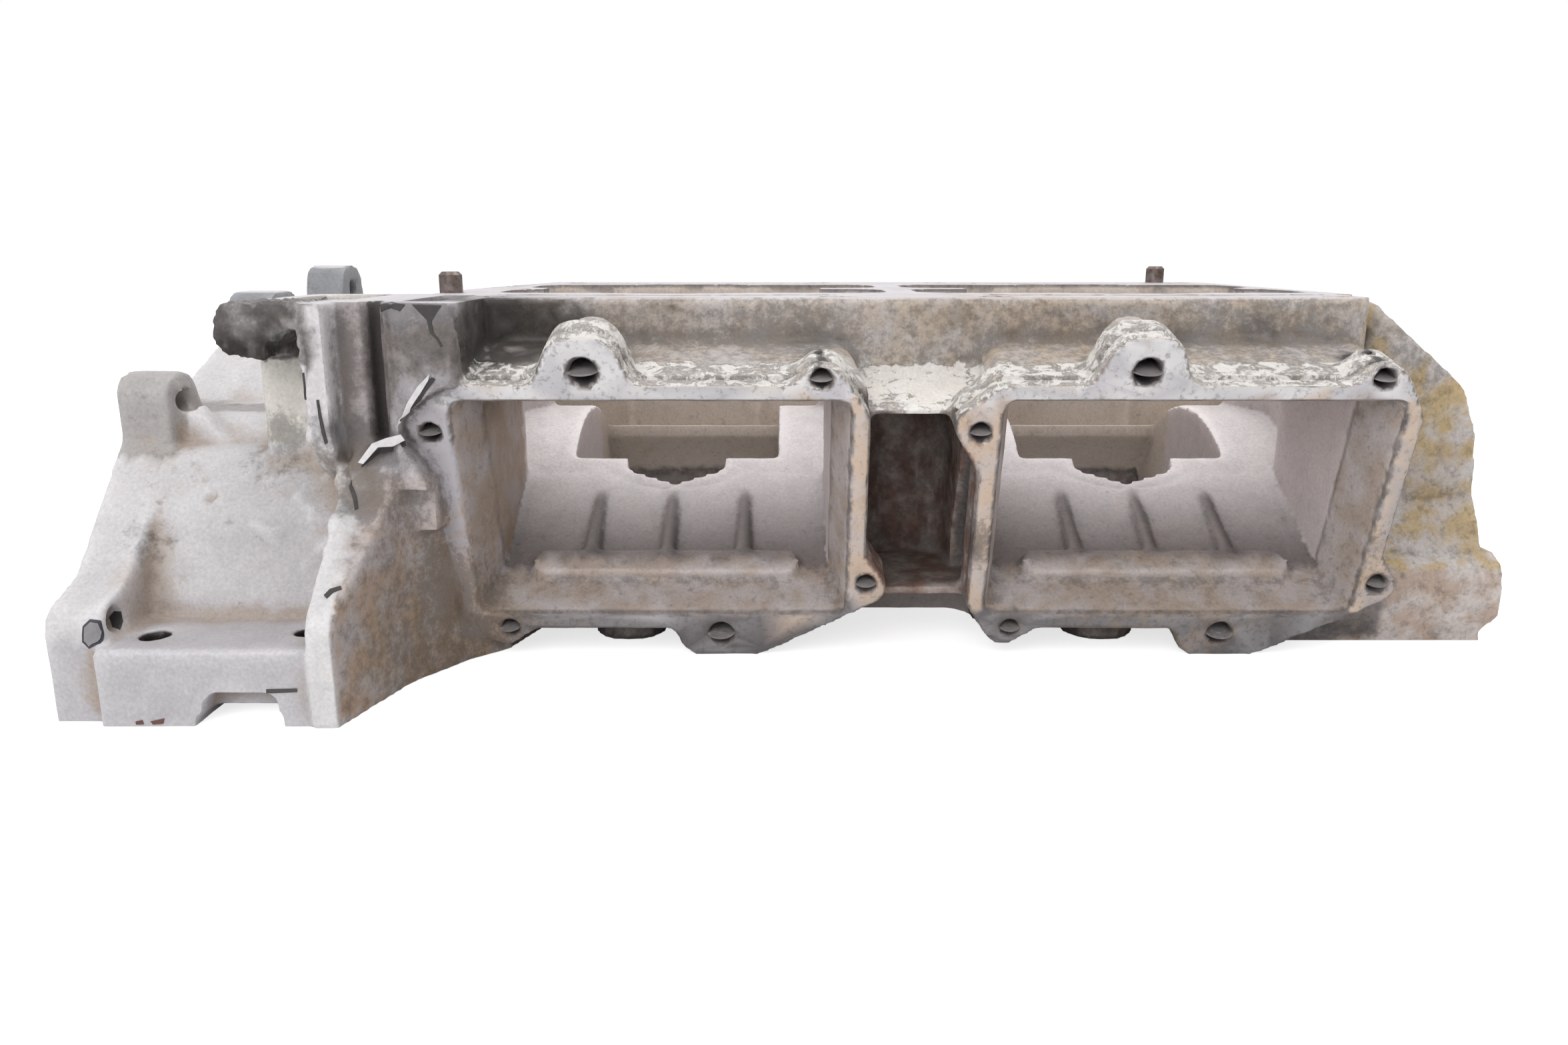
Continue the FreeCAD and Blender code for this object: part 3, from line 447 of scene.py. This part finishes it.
for v in mesh.vertices:
    p = v.co * 1000
    across, up, depth = port_place(p)
    coat = coat_at(p, facing[v.index])
    within = coat in ("port", "port floor", "left wall", "far wall")
    colour, shares = coats[coat]
    grime, tan, chalk, rough = shares
    # Mottling, the painted shade deep in the holes and the lumpy front of the bell
    if coat in mottles:
        share = ease(noise.fractal(p * 0.13, 0.6, 2.0, 5) + 0.1, -0.25, 0.45)
        share *= {"wedge": ease(p.z, 62, 20), "deck wall": ease(p.x, -110, 20)}.get(coat, 1.0)
        colour = colour.lerp(mottles[coat], share)
    # Painted shade: the walls of the tapped holes darken with depth, and the ledge holes are near black
    # throughout.
    if coat == "hole":
        colour = colour.lerp(soot_and_hole_shade, ease(depth, 1, 9) if p.x > -150 else 1.0)
    if coat == "bell":
        rough += 0.9 * spot(p, (-160, -112, 45), 38)
    for middle, reach, (more_grime, more_tan, more_chalk) in patches:
        if abs(p.x - middle[0]) < reach and abs(p.z - middle[2]) < reach:
            near = spot(p, middle, reach)
            grime, tan, chalk = grime + near * more_grime, tan + near * more_tan, chalk + near * more_chalk
    # Inside a port, painted light and shade: the floor pales from painted shade at the mouth to painted
    # light at the crown, and the ribs and the rebate's edge get painted shade on their sides
    # Painted shade at the mouth, painted light at the crown; the grime also thins out upwards.
    if coat == "port floor":
        colour = colour.lerp(coats["port crown painted light"][0], ease(p.z, 24, 50))
        grime *= 1.0 - 0.7 * ease(p.z, 27, 45)
    # Painted shade on the flanks of the ribs, darkest on the side towards +x.
    if within and -74 < p.y < -44 and p.z < 47 and abs(across) < 30:
        beside = across - rib_spacing * round(across / rib_spacing)
        share = ease(p.z - port_floor(p.y), 0.1, 1.0) * ease(abs(beside), 4.2, 2.4) * ease(p.y, -44, -52)
        colour = colour.lerp(coats["port floor"][0] * (1.0 - 0.5 * ease(beside, -0.8, 1.0)), 0.9 * share)
    # Painted shade: a dark strip along the step of the rebate.
    if coat == "port mouth" and 15.9 < depth < 17.6:
        colour = colour * 0.6
    for middle, reach, strength in deposits:
        if abs(p.x - middle[0]) < reach and abs(p.z - middle[2]) < reach:
            broken = min(max(0.85 + 1.4 * noise.noise(p * 0.4), 0.0), 1.0)
            colour = colour.lerp(soot_and_hole_shade, strength * broken * spot(p, middle, reach))
    # Dirt and painted shade darken the hollows, and the edges are rubbed pale and carry a painted highlight
    bent, widely_bent = fine_bend[v.index].value, wide_bend[v.index].value
    hollow, edge = max(bent - 0.2, 0.0), max(-bent, 0.0)
    dirt_and_shade = (0.08 if within else 0.24) * hollow + (0.0 if within else 0.12) * max(widely_bent, 0.0)
    if coat in ("bell", "ledge", "plate rim", "ear"):
        tan, grime = tan + 2.2 * dirt_and_shade, grime + 0.25 * dirt_and_shade
        colour = colour.lerp(brown_dust, 0.35 * hollow + 0.15 * max(widely_bent, 0.0))
    else:
        grime = grime + dirt_and_shade
        # Painted shade: the hollows are darkened directly.
        colour = colour * (1.0 - 0.15 * hollow)
    # Edges are lighter: partly paint rubbed pale, partly a painted highlight.
    colour = colour * (1.0 + 0.16 * edge)
    skin_values.extend((*colour, 1.0))
    wear_values.extend((grime, tan, chalk, rough))
for name, values in (("skin", skin_values), ("wear", wear_values)):
    mesh.color_attributes.new(name, "FLOAT_COLOR", "POINT")
    mesh.color_attributes[name].data.foreach_set("color", values)

milled_faces = [machined(face.center * 1000, face.normal) for face in mesh.polygons]
only(casting)
bpy.ops.object.shade_smooth_by_angle(angle=math.radians(42))


def add(tree, kind, inputs=None, **settings):
    """Adds a node, with its settings, its socket values and its links."""
    node = tree.nodes.new(kind)
    for name, value in settings.items():
        setattr(node, name, value)
    for name, value in (inputs or {}).items():
        if isinstance(value, bpy.types.NodeSocket):
            tree.links.new(value, node.inputs[name])
        else:
            node.inputs[name].default_value = value
    return node


def new_finish(name):
    """A new material and its node tree, which starts empty."""
    finish = bpy.data.materials.new(name)
    finish.use_nodes = True
    finish.node_tree.nodes.clear()
    return finish, finish.node_tree


def per_metre(millimetres):
    """Pattern scale from the size of its grain."""
    return 1000.0 / millimetres


def worn_patches(tree, pattern, amount, softness=0.06):
    """1 where a noise pattern passes the limit that a wear amount sets."""
    limit = add(tree, "ShaderNodeMath", {0: amount, 1: -0.46, 2: 0.73}, operation="MULTIPLY_ADD")
    above = add(tree, "ShaderNodeMath", {0: pattern, 1: limit.outputs[0]}, operation="SUBTRACT")
    edge = add(tree, "ShaderNodeMapRange", {
        "Value": above.outputs[0], "From Min": -softness, "From Max": softness},
        interpolation_type="SMOOTHSTEP")
    return edge.outputs[0]


# Sand-cast aluminium under thin, worn grey paint: a dull, fine-grained skin with stains and pale corrosion.
# The stain gathers in clouds 9 mm wide, the corrosion in crusts of 5 mm, the grime in flecks of 3 mm. The
# sand grain is drawn 0.9 mm coarse, about twice the real one, so that it shows.
casting_finish, tree = new_finish("sand-cast aluminium, worn grey paint")
place = add(tree, "ShaderNodeTexCoord").outputs["Object"]
base = add(tree, "ShaderNodeAttribute", attribute_name="skin").outputs["Color"]
worn = add(tree, "ShaderNodeAttribute", attribute_name="wear")
amounts = add(tree, "ShaderNodeSeparateColor", {"Color": worn.outputs["Color"]})
cloud = add(tree, "ShaderNodeTexNoise", {
    "Vector": place, "Scale": per_metre(9), "Detail": 10, "Roughness": 0.74})
fleck = add(tree, "ShaderNodeTexNoise", {
    "Vector": place, "Scale": per_metre(3.0), "Detail": 8, "Roughness": 0.75})
crust = add(tree, "ShaderNodeTexNoise", {
    "Vector": place, "Scale": per_metre(5.0), "Detail": 10, "Roughness": 0.78, "Distortion": 0.5})
sand = add(tree, "ShaderNodeTexNoise", {
    "Vector": place, "Scale": per_metre(0.9), "Detail": 5, "Roughness": 0.6})

dark = worn_patches(tree, fleck.outputs["Fac"], amounts.outputs[0], 0.13)
stain = worn_patches(tree, cloud.outputs["Fac"], amounts.outputs[1], 0.16)
white = worn_patches(tree, crust.outputs["Fac"], amounts.outputs[2], 0.05)
stain_share = add(tree, "ShaderNodeMath", {0: stain, 1: 0.5}, operation="MULTIPLY")
dark_share = add(tree, "ShaderNodeMath", {0: dark, 1: 0.52}, operation="MULTIPLY")
white_share = add(tree, "ShaderNodeMath", {0: white, 1: 0.85}, operation="MULTIPLY")
shade = add(tree, "ShaderNodeMapRange", {
    "Value": cloud.outputs["Fac"], "From Min": 0.3, "From Max": 0.7, "To Min": 0.88, "To Max": 1.1})
varied = add(tree, "ShaderNodeVectorMath", {0: base, "Scale": shade.outputs[0]}, operation="SCALE")
stained = add(tree, "ShaderNodeMix", {
    0: stain_share.outputs[0], 6: varied.outputs[0], 7: linear("#a38f7a")}, data_type="RGBA")
grimy = add(tree, "ShaderNodeMix", {
    0: dark_share.outputs[0], 6: stained.outputs[2], 7: linear("#4b4744")}, data_type="RGBA")
crusted = add(tree, "ShaderNodeMix", {
    0: white_share.outputs[0], 6: grimy.outputs[2], 7: linear("#ebe7e2")}, data_type="RGBA")
grit = add(tree, "ShaderNodeMapRange", {
    "Value": sand.outputs["Fac"], "From Min": 0.3, "From Max": 0.7, "To Min": 0.86, "To Max": 1.08})
final = add(tree, "ShaderNodeVectorMath", {
    0: crusted.outputs[2], "Scale": grit.outputs[0]}, operation="SCALE")

sand_bump = add(tree, "ShaderNodeBump", {"Strength": 0.5, "Distance": 0.0003, "Height": sand.outputs["Fac"]})
lump_height = add(tree, "ShaderNodeMath", {
    0: fleck.outputs["Fac"], 1: worn.outputs["Alpha"]}, operation="MULTIPLY")
lump_bump = add(tree, "ShaderNodeBump", {
    "Strength": 0.55, "Distance": 0.0011, "Height": lump_height.outputs[0], "Normal": sand_bump.outputs[0]})
crust_bump = add(tree, "ShaderNodeBump", {
    "Strength": 0.8, "Distance": 0.00035, "Height": white, "Normal": lump_bump.outputs[0]})
sheen = add(tree, "ShaderNodeMath", {0: worn.outputs["Alpha"], 1: 0.5, 2: 0.30}, operation="MULTIPLY_ADD")
gloss = add(tree, "ShaderNodeMath", {0: dark, 1: 0.25, 2: sheen.outputs[0]}, operation="MULTIPLY_ADD")
surface = add(tree, "ShaderNodeBsdfPrincipled", {
    "Base Color": final.outputs[0], "Roughness": gloss.outputs[0], "Metallic": 0.0, "IOR": 1.46,
    "Normal": crust_bump.outputs[0]})
add(tree, "ShaderNodeOutputMaterial", {"Surface": surface.outputs[0]})

# Milled aluminium of the joint faces: flat and pale, faintly scratched, brown where old gasket soaked in.
milled, tree = new_finish("milled aluminium")
place = add(tree, "ShaderNodeTexCoord").outputs["Object"]
base = add(tree, "ShaderNodeAttribute", attribute_name="skin").outputs["Color"]
worn = add(tree, "ShaderNodeAttribute", attribute_name="wear")
amounts = add(tree, "ShaderNodeSeparateColor", {"Color": worn.outputs["Color"]})
soak = add(tree, "ShaderNodeTexNoise", {
    "Vector": place, "Scale": per_metre(8), "Detail": 10, "Roughness": 0.75})
speck = add(tree, "ShaderNodeTexNoise", {
    "Vector": place, "Scale": per_metre(1.8), "Detail": 6, "Roughness": 0.75})
soak_edge = worn_patches(tree, soak.outputs["Fac"], amounts.outputs[1], 0.12)
speck_edge = worn_patches(tree, speck.outputs["Fac"], amounts.outputs[0], 0.08)
soak_share = add(tree, "ShaderNodeMath", {0: soak_edge, 1: 0.6}, operation="MULTIPLY")
speck_share = add(tree, "ShaderNodeMath", {0: speck_edge, 1: 0.5}, operation="MULTIPLY")
soaked = add(tree, "ShaderNodeMix", {
    0: soak_share.outputs[0], 6: base, 7: linear("#a89078")}, data_type="RGBA")
specked = add(tree, "ShaderNodeMix", {
    0: speck_share.outputs[0], 6: soaked.outputs[2], 7: linear("#5f5a59")}, data_type="RGBA")
fine = add(tree, "ShaderNodeBump", {"Strength": 0.35, "Distance": 0.0002, "Height": speck.outputs["Fac"]})
surface = add(tree, "ShaderNodeBsdfPrincipled", {
    "Base Color": specked.outputs[2], "Roughness": 0.5, "Metallic": 0.1, "Normal": fine.outputs[0]})
add(tree, "ShaderNodeOutputMaterial", {"Surface": surface.outputs[0]})

mesh.materials.clear()
mesh.materials.append(casting_finish)
mesh.materials.append(milled)
mesh.polygons.foreach_set("material_index", [int(flat) for flat in milled_faces])
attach(casting, "root")
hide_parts("upper_crankcase_half")


# Threads of the twelve tapped holes in the reed flanges: cut M6 and M8 threads in bare aluminium.
# Each is a fine helical ridge on the wall of its hole. The cut metal is brighter than the skin, and old
# thread sealant dulls it in places.
thread_finish, tree = new_finish("tapped aluminium, dark in the roots")
place = add(tree, "ShaderNodeTexCoord").outputs["Object"]
residue = add(tree, "ShaderNodeTexNoise", {"Vector": place, "Scale": per_metre(2.5), "Detail": 4})
tint = add(tree, "ShaderNodeMix", {
    0: residue.outputs["Fac"], 6: linear("#e6e2e2"), 7: linear("#b3adab")}, data_type="RGBA")
surface = add(tree, "ShaderNodeBsdfPrincipled", {
    "Base Color": tint.outputs[2], "Roughness": 0.4, "Metallic": 0.2})
add(tree, "ShaderNodeOutputMaterial", {"Surface": surface.outputs[0]})

# Turns and steps of one thread, the size of its ridge as a share of the pitch, and its start below the face
thread_turns, thread_steps = 9, 28
ridge_size, ridge_stand = 0.6, 0.04
first_turn = 0.8
across_way = Vector((1, 0, 0))
into_hole = Matrix((across_way, flange_up.cross(across_way), -flange_out)).transposed()
for side_name, middle in (("left", -cylinder_offset), ("right", cylinder_offset)):
    for number, (across, up, radius, pitch) in enumerate(flange_holes, 1):
        deselect_all()
        bpy.ops.mesh.primitive_circle_add(vertices=3, radius=pitch * ridge_size * 0.001, fill_type="NGON",
                                          rotation=(math.pi / 2, 0, 0))
        coil = bpy.context.object
        coil.name = coil.data.name = "thread_%s_%d" % (side_name, number)
        only(coil)
        bpy.ops.object.transform_apply(rotation=True)
        bpy.ops.object.mode_set(mode="EDIT")
        bpy.ops.mesh.select_all(action="SELECT")
        bpy.ops.transform.translate(value=((radius + pitch * ridge_stand) * 0.001, 0, 0))
        bpy.ops.object.mode_set(mode="OBJECT")
        wind = coil.modifiers.new("wind", "SCREW")
        wind.screw_offset = pitch * 0.001
        wind.iterations = thread_turns
        wind.steps = wind.render_steps = thread_steps
        wind.use_normal_calculate = True
        bpy.ops.object.modifier_apply(modifier="wind")
        mouth = flange_middle + flange_up * up + across_way * (middle + across) - flange_out * first_turn
        coil.data.transform(Matrix.Translation(mouth * 0.001) @ into_hole.to_4x4())
        only(coil)
        bpy.ops.object.mode_set(mode="EDIT")
        bpy.ops.mesh.select_all(action="SELECT")
        bpy.ops.mesh.normals_make_consistent(inside=False)
        bpy.ops.object.mode_set(mode="OBJECT")
        coil.data.materials.append(thread_finish)
        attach(coil, "root")


# Cracks, chips and lifted flakes of the old paint: thin films that lie on the skin, as the real ones do.
# Dark films show the bare, oxidised metal, pale ones are paint that has lifted, and brown ones are primer.
# Each has its colour, how far it stands off the skin in millimetres, and the points of its outline.
film_thickness = 0.25
films = {
    "column_crack": ("#3a3636", 0.12, [
        (-130.2, -110, 101.6), (-126.8, -110, 97.8), (-126.2, -110, 94.5), (-124.5, -110, 92.7),
        (-123.8, -110, 91), (-123.3, -110, 91.4), (-124.2, -110, 93.2), (-125.4, -110, 94.7),
        (-125.7, -110, 97.5), (-124, -110, 100), (-122.9, -110, 101.4),
    ]),
    "column_chip": ("#3a3636", 0.12, [
        (-139.9, -105.5, 101.4), (-131.9, -110, 101.6), (-133.4, -109.9, 100), (-135.9, -109.1, 100.7),
        (-139.5, -106, 99.6),
    ]),
    "fin_crack": ("#3a3636", 0.12, [
        (-155.5, -112, 78), (-155.4, -112, 73.7), (-155, -112, 69.5), (-154.4, -112, 66.6),
        (-153.7, -112, 67.1), (-154.2, -112, 70.3), (-154.7, -112, 74.3), (-154.9, -112, 78),
    ]),
    "fin_edge_crack": ("#3a3636", 0.12, [
        (-158.9, -112, 78), (-158.7, -112, 81.7), (-158.7, -112, 84.7), (-158.1, -112, 84.9),
        (-158.1, -112, 81.6), (-158.3, -112, 78),
    ]),
    "rim_gap": ("#2f2b2b", 0.15, [
        (-135.4, -109.3, 70.4), (-132.2, -110, 76), (-129.5, -110, 80.3), (-126.6, -110, 83.5),
        (-125.7, -110, 83), (-128.5, -110, 79.6), (-131.2, -110, 75.5), (-134.3, -109.7, 70.2),
    ]),
    "rim_flake": ("#e2dfe0", 0.45, [
        (-136.6, -108.7, 70.7), (-133.4, -109.9, 76.7), (-130.3, -110, 81.1), (-127, -110, 84.3),
        (-127.4, -110, 82.8), (-129.7, -110, 79.4), (-132.6, -110, 75.7), (-135.2, -109.4, 70.6),
    ]),
    "ridge_crack": ("#3a3636", 0.12, [
        (-151.1, -105.8, 57), (-149.8, -108.9, 53.2), (-147.9, -113.1, 49.5), (-147.1, -112.8, 49.8),
        (-148.8, -108.7, 53.5), (-150.3, -105.6, 57.2),
    ]),
    "ledge_chip_low": ("#4a4646", 0.12, [
        (-164.4, -137, 10), (-156.8, -137, 10.2), (-156.9, -137, 9.3), (-164.5, -137, 8.9),
    ]),
    "flange_chip_edge": ("#37363f", 0.12, [
        (-209.3, -133.7, 25.1), (-207.7, -133, 26.7), (-205, -132.7, 26.3), (-204.2, -133, 22.9),
        (-205.4, -134, 20.5), (-208, -134, 19.6), (-209.6, -134, 21.2),
    ]),
    "flange_chip": ("#8d8a8d", 0.30, [
        (-208.8, -133.8, 24.8), (-207.4, -133.4, 26.1), (-205.5, -133.5, 25.7), (-204.9, -133.7, 23.1),
        (-205.8, -134, 21.1), (-207.8, -134, 20.2), (-209.0, -134, 21.6),
    ]),
    "flange_pit": ("#2f2b2b", 0.12, [
        (-208.7, -123.5, 24.1), (-207.2, -123.6, 25.9), (-205.6, -123.5, 25.5), (-205.2, -123.8, 23.1),
        (-205.2, -125.6, 21.6), (-207.3, -125.2, 21.8),
    ]),
    "ridge_foot_crack": ("#3a3636", 0.12, [
        (-150, -132.3, 32.6), (-148.9, -131, 33.8), (-146.5, -130.3, 34.4), (-146, -131, 33.8),
        (-147.9, -131.7, 33.1), (-149.1, -133, 32),
    ]),
    "primer_left": ("#6e4a44", 0.12, [
        (-197.6, -137, 1.5), (-195.9, -137, 1.9), (-195.7, -137, 0.8), (-197.5, -137, 0.7),
    ]),
    "primer_right": ("#6e4a44", 0.12, [
        (-193.9, -137, 1.5), (-190.4, -137, 2.3), (-190.9, -137, 0.9), (-193.4, -137, 0.7),
    ]),
    "wedge_gap": ("#2f2b2b", 0.15, [
        (-146.5, -110, 60.2), (-142.6, -107.5, 63.4), (-138.4, -106.5, 64.0), (-134.8, -109.4, 65.8),
        (-135.0, -109.4, 67.1), (-138.3, -106.8, 65.6), (-142, -107.7, 65), (-145.8, -110, 61.9),
    ]),
    "wedge_flake": ("#e4e1e2", 0.60, [
        (-147.1, -110.4, 61.6), (-143.4, -109.6, 66.4), (-139.7, -109.4, 67.8), (-135.7, -109.9, 68.8),
        (-134.7, -110.0, 67.3), (-138.2, -109.2, 65.6), (-142, -109.4, 65.4), (-145.8, -110.4, 61.2),
    ]),
}
# The flake by the slanted wall bridges a gap, so it and the gap under it are not laid on the skin.
bridging = ("wedge_gap", "wedge_flake")
film_finishes = {}
for name, (code, lift, points) in films.items():
    if code not in film_finishes:
        # Dull paint or oxide, uneven in tone over a millimetre or two
        film_finishes[code], tree = new_finish("paint damage " + code[1:])
        place = add(tree, "ShaderNodeTexCoord").outputs["Object"]
        uneven = add(tree, "ShaderNodeTexNoise", {"Vector": place, "Scale": per_metre(1.5), "Detail": 5})
        tone = add(tree, "ShaderNodeMapRange", {
            "Value": uneven.outputs["Fac"], "To Min": 0.7, "To Max": 1.15})
        shade = add(tree, "ShaderNodeVectorMath", {
            0: linear(code)[:3], "Scale": tone.outputs[0]}, operation="SCALE")
        surface = add(tree, "ShaderNodeBsdfPrincipled", {"Base Color": shade.outputs[0], "Roughness": 0.6})
        add(tree, "ShaderNodeOutputMaterial", {"Surface": surface.outputs[0]})
    deselect_all()
    bpy.ops.mesh.primitive_circle_add(vertices=len(points), radius=0.01, fill_type="NGON")
    film = bpy.context.object
    film.name = film.data.name = name
    for vertex, point in zip(film.data.vertices, points):
        vertex.co = Vector(point) * 0.001
    only(film)
    bpy.ops.object.mode_set(mode="EDIT")
    bpy.ops.mesh.select_all(action="SELECT")
    bpy.ops.mesh.quads_convert_to_tris(ngon_method="BEAUTY")
    bpy.ops.mesh.subdivide(number_cuts=3)
    bpy.ops.object.mode_set(mode="OBJECT")
    if name not in bridging:
        wrap = film.modifiers.new("wrap", "SHRINKWRAP")
        wrap.target = casting
        wrap.wrap_mode = "ABOVE_SURFACE"
        wrap.offset = lift * 0.001
        bpy.ops.object.modifier_apply(modifier="wrap")
    thick = film.modifiers.new("thick", "SOLIDIFY")
    thick.thickness = film_thickness * 0.001
    thick.offset = 0
    bpy.ops.object.modifier_apply(modifier="thick")
    film.data.materials.append(film_finishes[code])
    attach(film, "root")


# The two dowel pins: hardened steel, pressed into the deck to place the cylinders.
# They have stood in the weather, so a brown stain lies over the dark metal and dulls its highlights.
dowel_finish, tree = new_finish("stained dowel steel")
place = add(tree, "ShaderNodeTexCoord").outputs["Object"]
rust = add(tree, "ShaderNodeTexNoise", {
    "Vector": place, "Scale": per_metre(3), "Detail": 7, "Roughness": 0.65})
rust_edge = add(tree, "ShaderNodeMapRange", {
    "Value": rust.outputs["Fac"], "From Min": 0.4, "From Max": 0.62})
tint = add(tree, "ShaderNodeMix", {
    0: rust_edge.outputs[0], 6: linear("#7d7471"), 7: linear("#5a4a42")}, data_type="RGBA")
dullness = add(tree, "ShaderNodeMapRange", {"Value": rust.outputs["Fac"], "To Min": 0.3, "To Max": 0.65})
surface = add(tree, "ShaderNodeBsdfPrincipled", {
    "Base Color": tint.outputs[2], "Roughness": dullness.outputs[0], "Metallic": 0.75})
add(tree, "ShaderNodeOutputMaterial", {"Surface": surface.outputs[0]})
for name in ("deck_dowel_left", "deck_dowel_right"):
    pin = frame["nodes"][name].data
    pin.materials.clear()
    pin.materials.append(dowel_finish)


# The gallery plug: a small turned brass plug, pressed into the output end to close an oil way.
# Handling and weather have dulled it to a warm, uneven yellow.
plug_finish, tree = new_finish("dull brass")
place = add(tree, "ShaderNodeTexCoord").outputs["Object"]
dull = add(tree, "ShaderNodeTexNoise", {"Vector": place, "Scale": per_metre(2), "Detail": 5})
tint = add(tree, "ShaderNodeMix", {
    0: dull.outputs["Fac"], 6: linear("#c3a873"), 7: linear("#8c7450")}, data_type="RGBA")
surface = add(tree, "ShaderNodeBsdfPrincipled", {
    "Base Color": tint.outputs[2], "Roughness": 0.45, "Metallic": 0.8})
add(tree, "ShaderNodeOutputMaterial", {"Surface": surface.outputs[0]})
plug = frame["nodes"]["gallery_plug"].data
plug.materials.clear()
plug.materials.append(plug_finish)


# The studio: a plain white floor, a white surround and two large soft lamps over the casting.
# The floor keeps the casting's shadow. Its white, and the surround's, is added for the camera alone.
deselect_all()
bpy.ops.mesh.primitive_plane_add(size=24, location=(0, 0, 0))
floor = bpy.context.object
floor.name = floor.data.name = "studio_floor"
floor_finish, tree = new_finish("white studio floor")
seen = add(tree, "ShaderNodeLightPath")
matt = add(tree, "ShaderNodeBsdfDiffuse", {"Color": linear("#f4f4f4")})
glow = add(tree, "ShaderNodeEmission", {"Color": (1, 1, 1, 1), "Strength": 1.3})
glow_share = add(tree, "ShaderNodeMath", {0: seen.outputs["Is Camera Ray"], 1: 0.55}, operation="MULTIPLY")
glowing = add(tree, "ShaderNodeAddShader", {0: matt.outputs[0], 1: glow.outputs[0]})
lifted = add(tree, "ShaderNodeMixShader", {
    0: glow_share.outputs[0], 1: matt.outputs[0], 2: glowing.outputs[0]})
add(tree, "ShaderNodeOutputMaterial", {"Surface": lifted.outputs[0]})
floor.data.materials.append(floor_finish)

world = bpy.data.worlds.new("white surround")
bpy.context.scene.world = world
world.use_nodes = True
tree = world.node_tree
tree.nodes.clear()
seen = add(tree, "ShaderNodeLightPath")
direct = add(tree, "ShaderNodeMath", {
    0: seen.outputs["Is Camera Ray"], 1: seen.outputs["Is Glossy Ray"]}, operation="MAXIMUM")
passing = add(tree, "ShaderNodeMath", {
    0: direct.outputs[0], 1: seen.outputs["Is Transmission Ray"]}, operation="MAXIMUM")
level = add(tree, "ShaderNodeMapRange", {"Value": passing.outputs[0], "To Min": 0.44, "To Max": 1.0})
sky = add(tree, "ShaderNodeBackground", {"Color": (1, 1, 1, 1), "Strength": level.outputs[0]})
add(tree, "ShaderNodeOutputWorld", {"Surface": sky.outputs[0]})

# Soft lamps: name, place, width and power, each aimed at the middle of the casting
aim = Vector((0, 0, 0.05))
for name, stands_at, width, power in (
    ("top softbox", (0.05, 0.08, 0.9), 0.8, 4.6),
    ("front softbox", (-0.45, -1.1, 0.7), 0.9, 7.5),
):
    lamp = bpy.data.lights.new(name, "AREA")
    lamp.energy = power
    lamp.size = width
    holder = bpy.data.objects.new(name, lamp)
    bpy.context.scene.collection.objects.link(holder)
    holder.location = stands_at
    holder.rotation_euler = (aim - Vector(stands_at)).to_track_quat("-Z", "Y").to_euler()

# The camera of the photo, solved from it: place in metres, tilt below level in degrees, lens in millimetres
camera_place, camera_tilt, focal_length = (-0.0373, -0.398, 0.115), 13.55, 26.02
lens = bpy.data.cameras.new("photo view")
lens.sensor_width = 36
lens.lens = focal_length
lens.clip_start = 0.01
viewer = bpy.data.objects.new("photo view", lens)
bpy.context.scene.collection.objects.link(viewer)
viewer.location = camera_place
viewer.rotation_euler = (math.radians(90 - camera_tilt), 0, 0)
bpy.context.scene.camera = viewer
bpy.context.scene.view_settings.view_transform = "Standard"
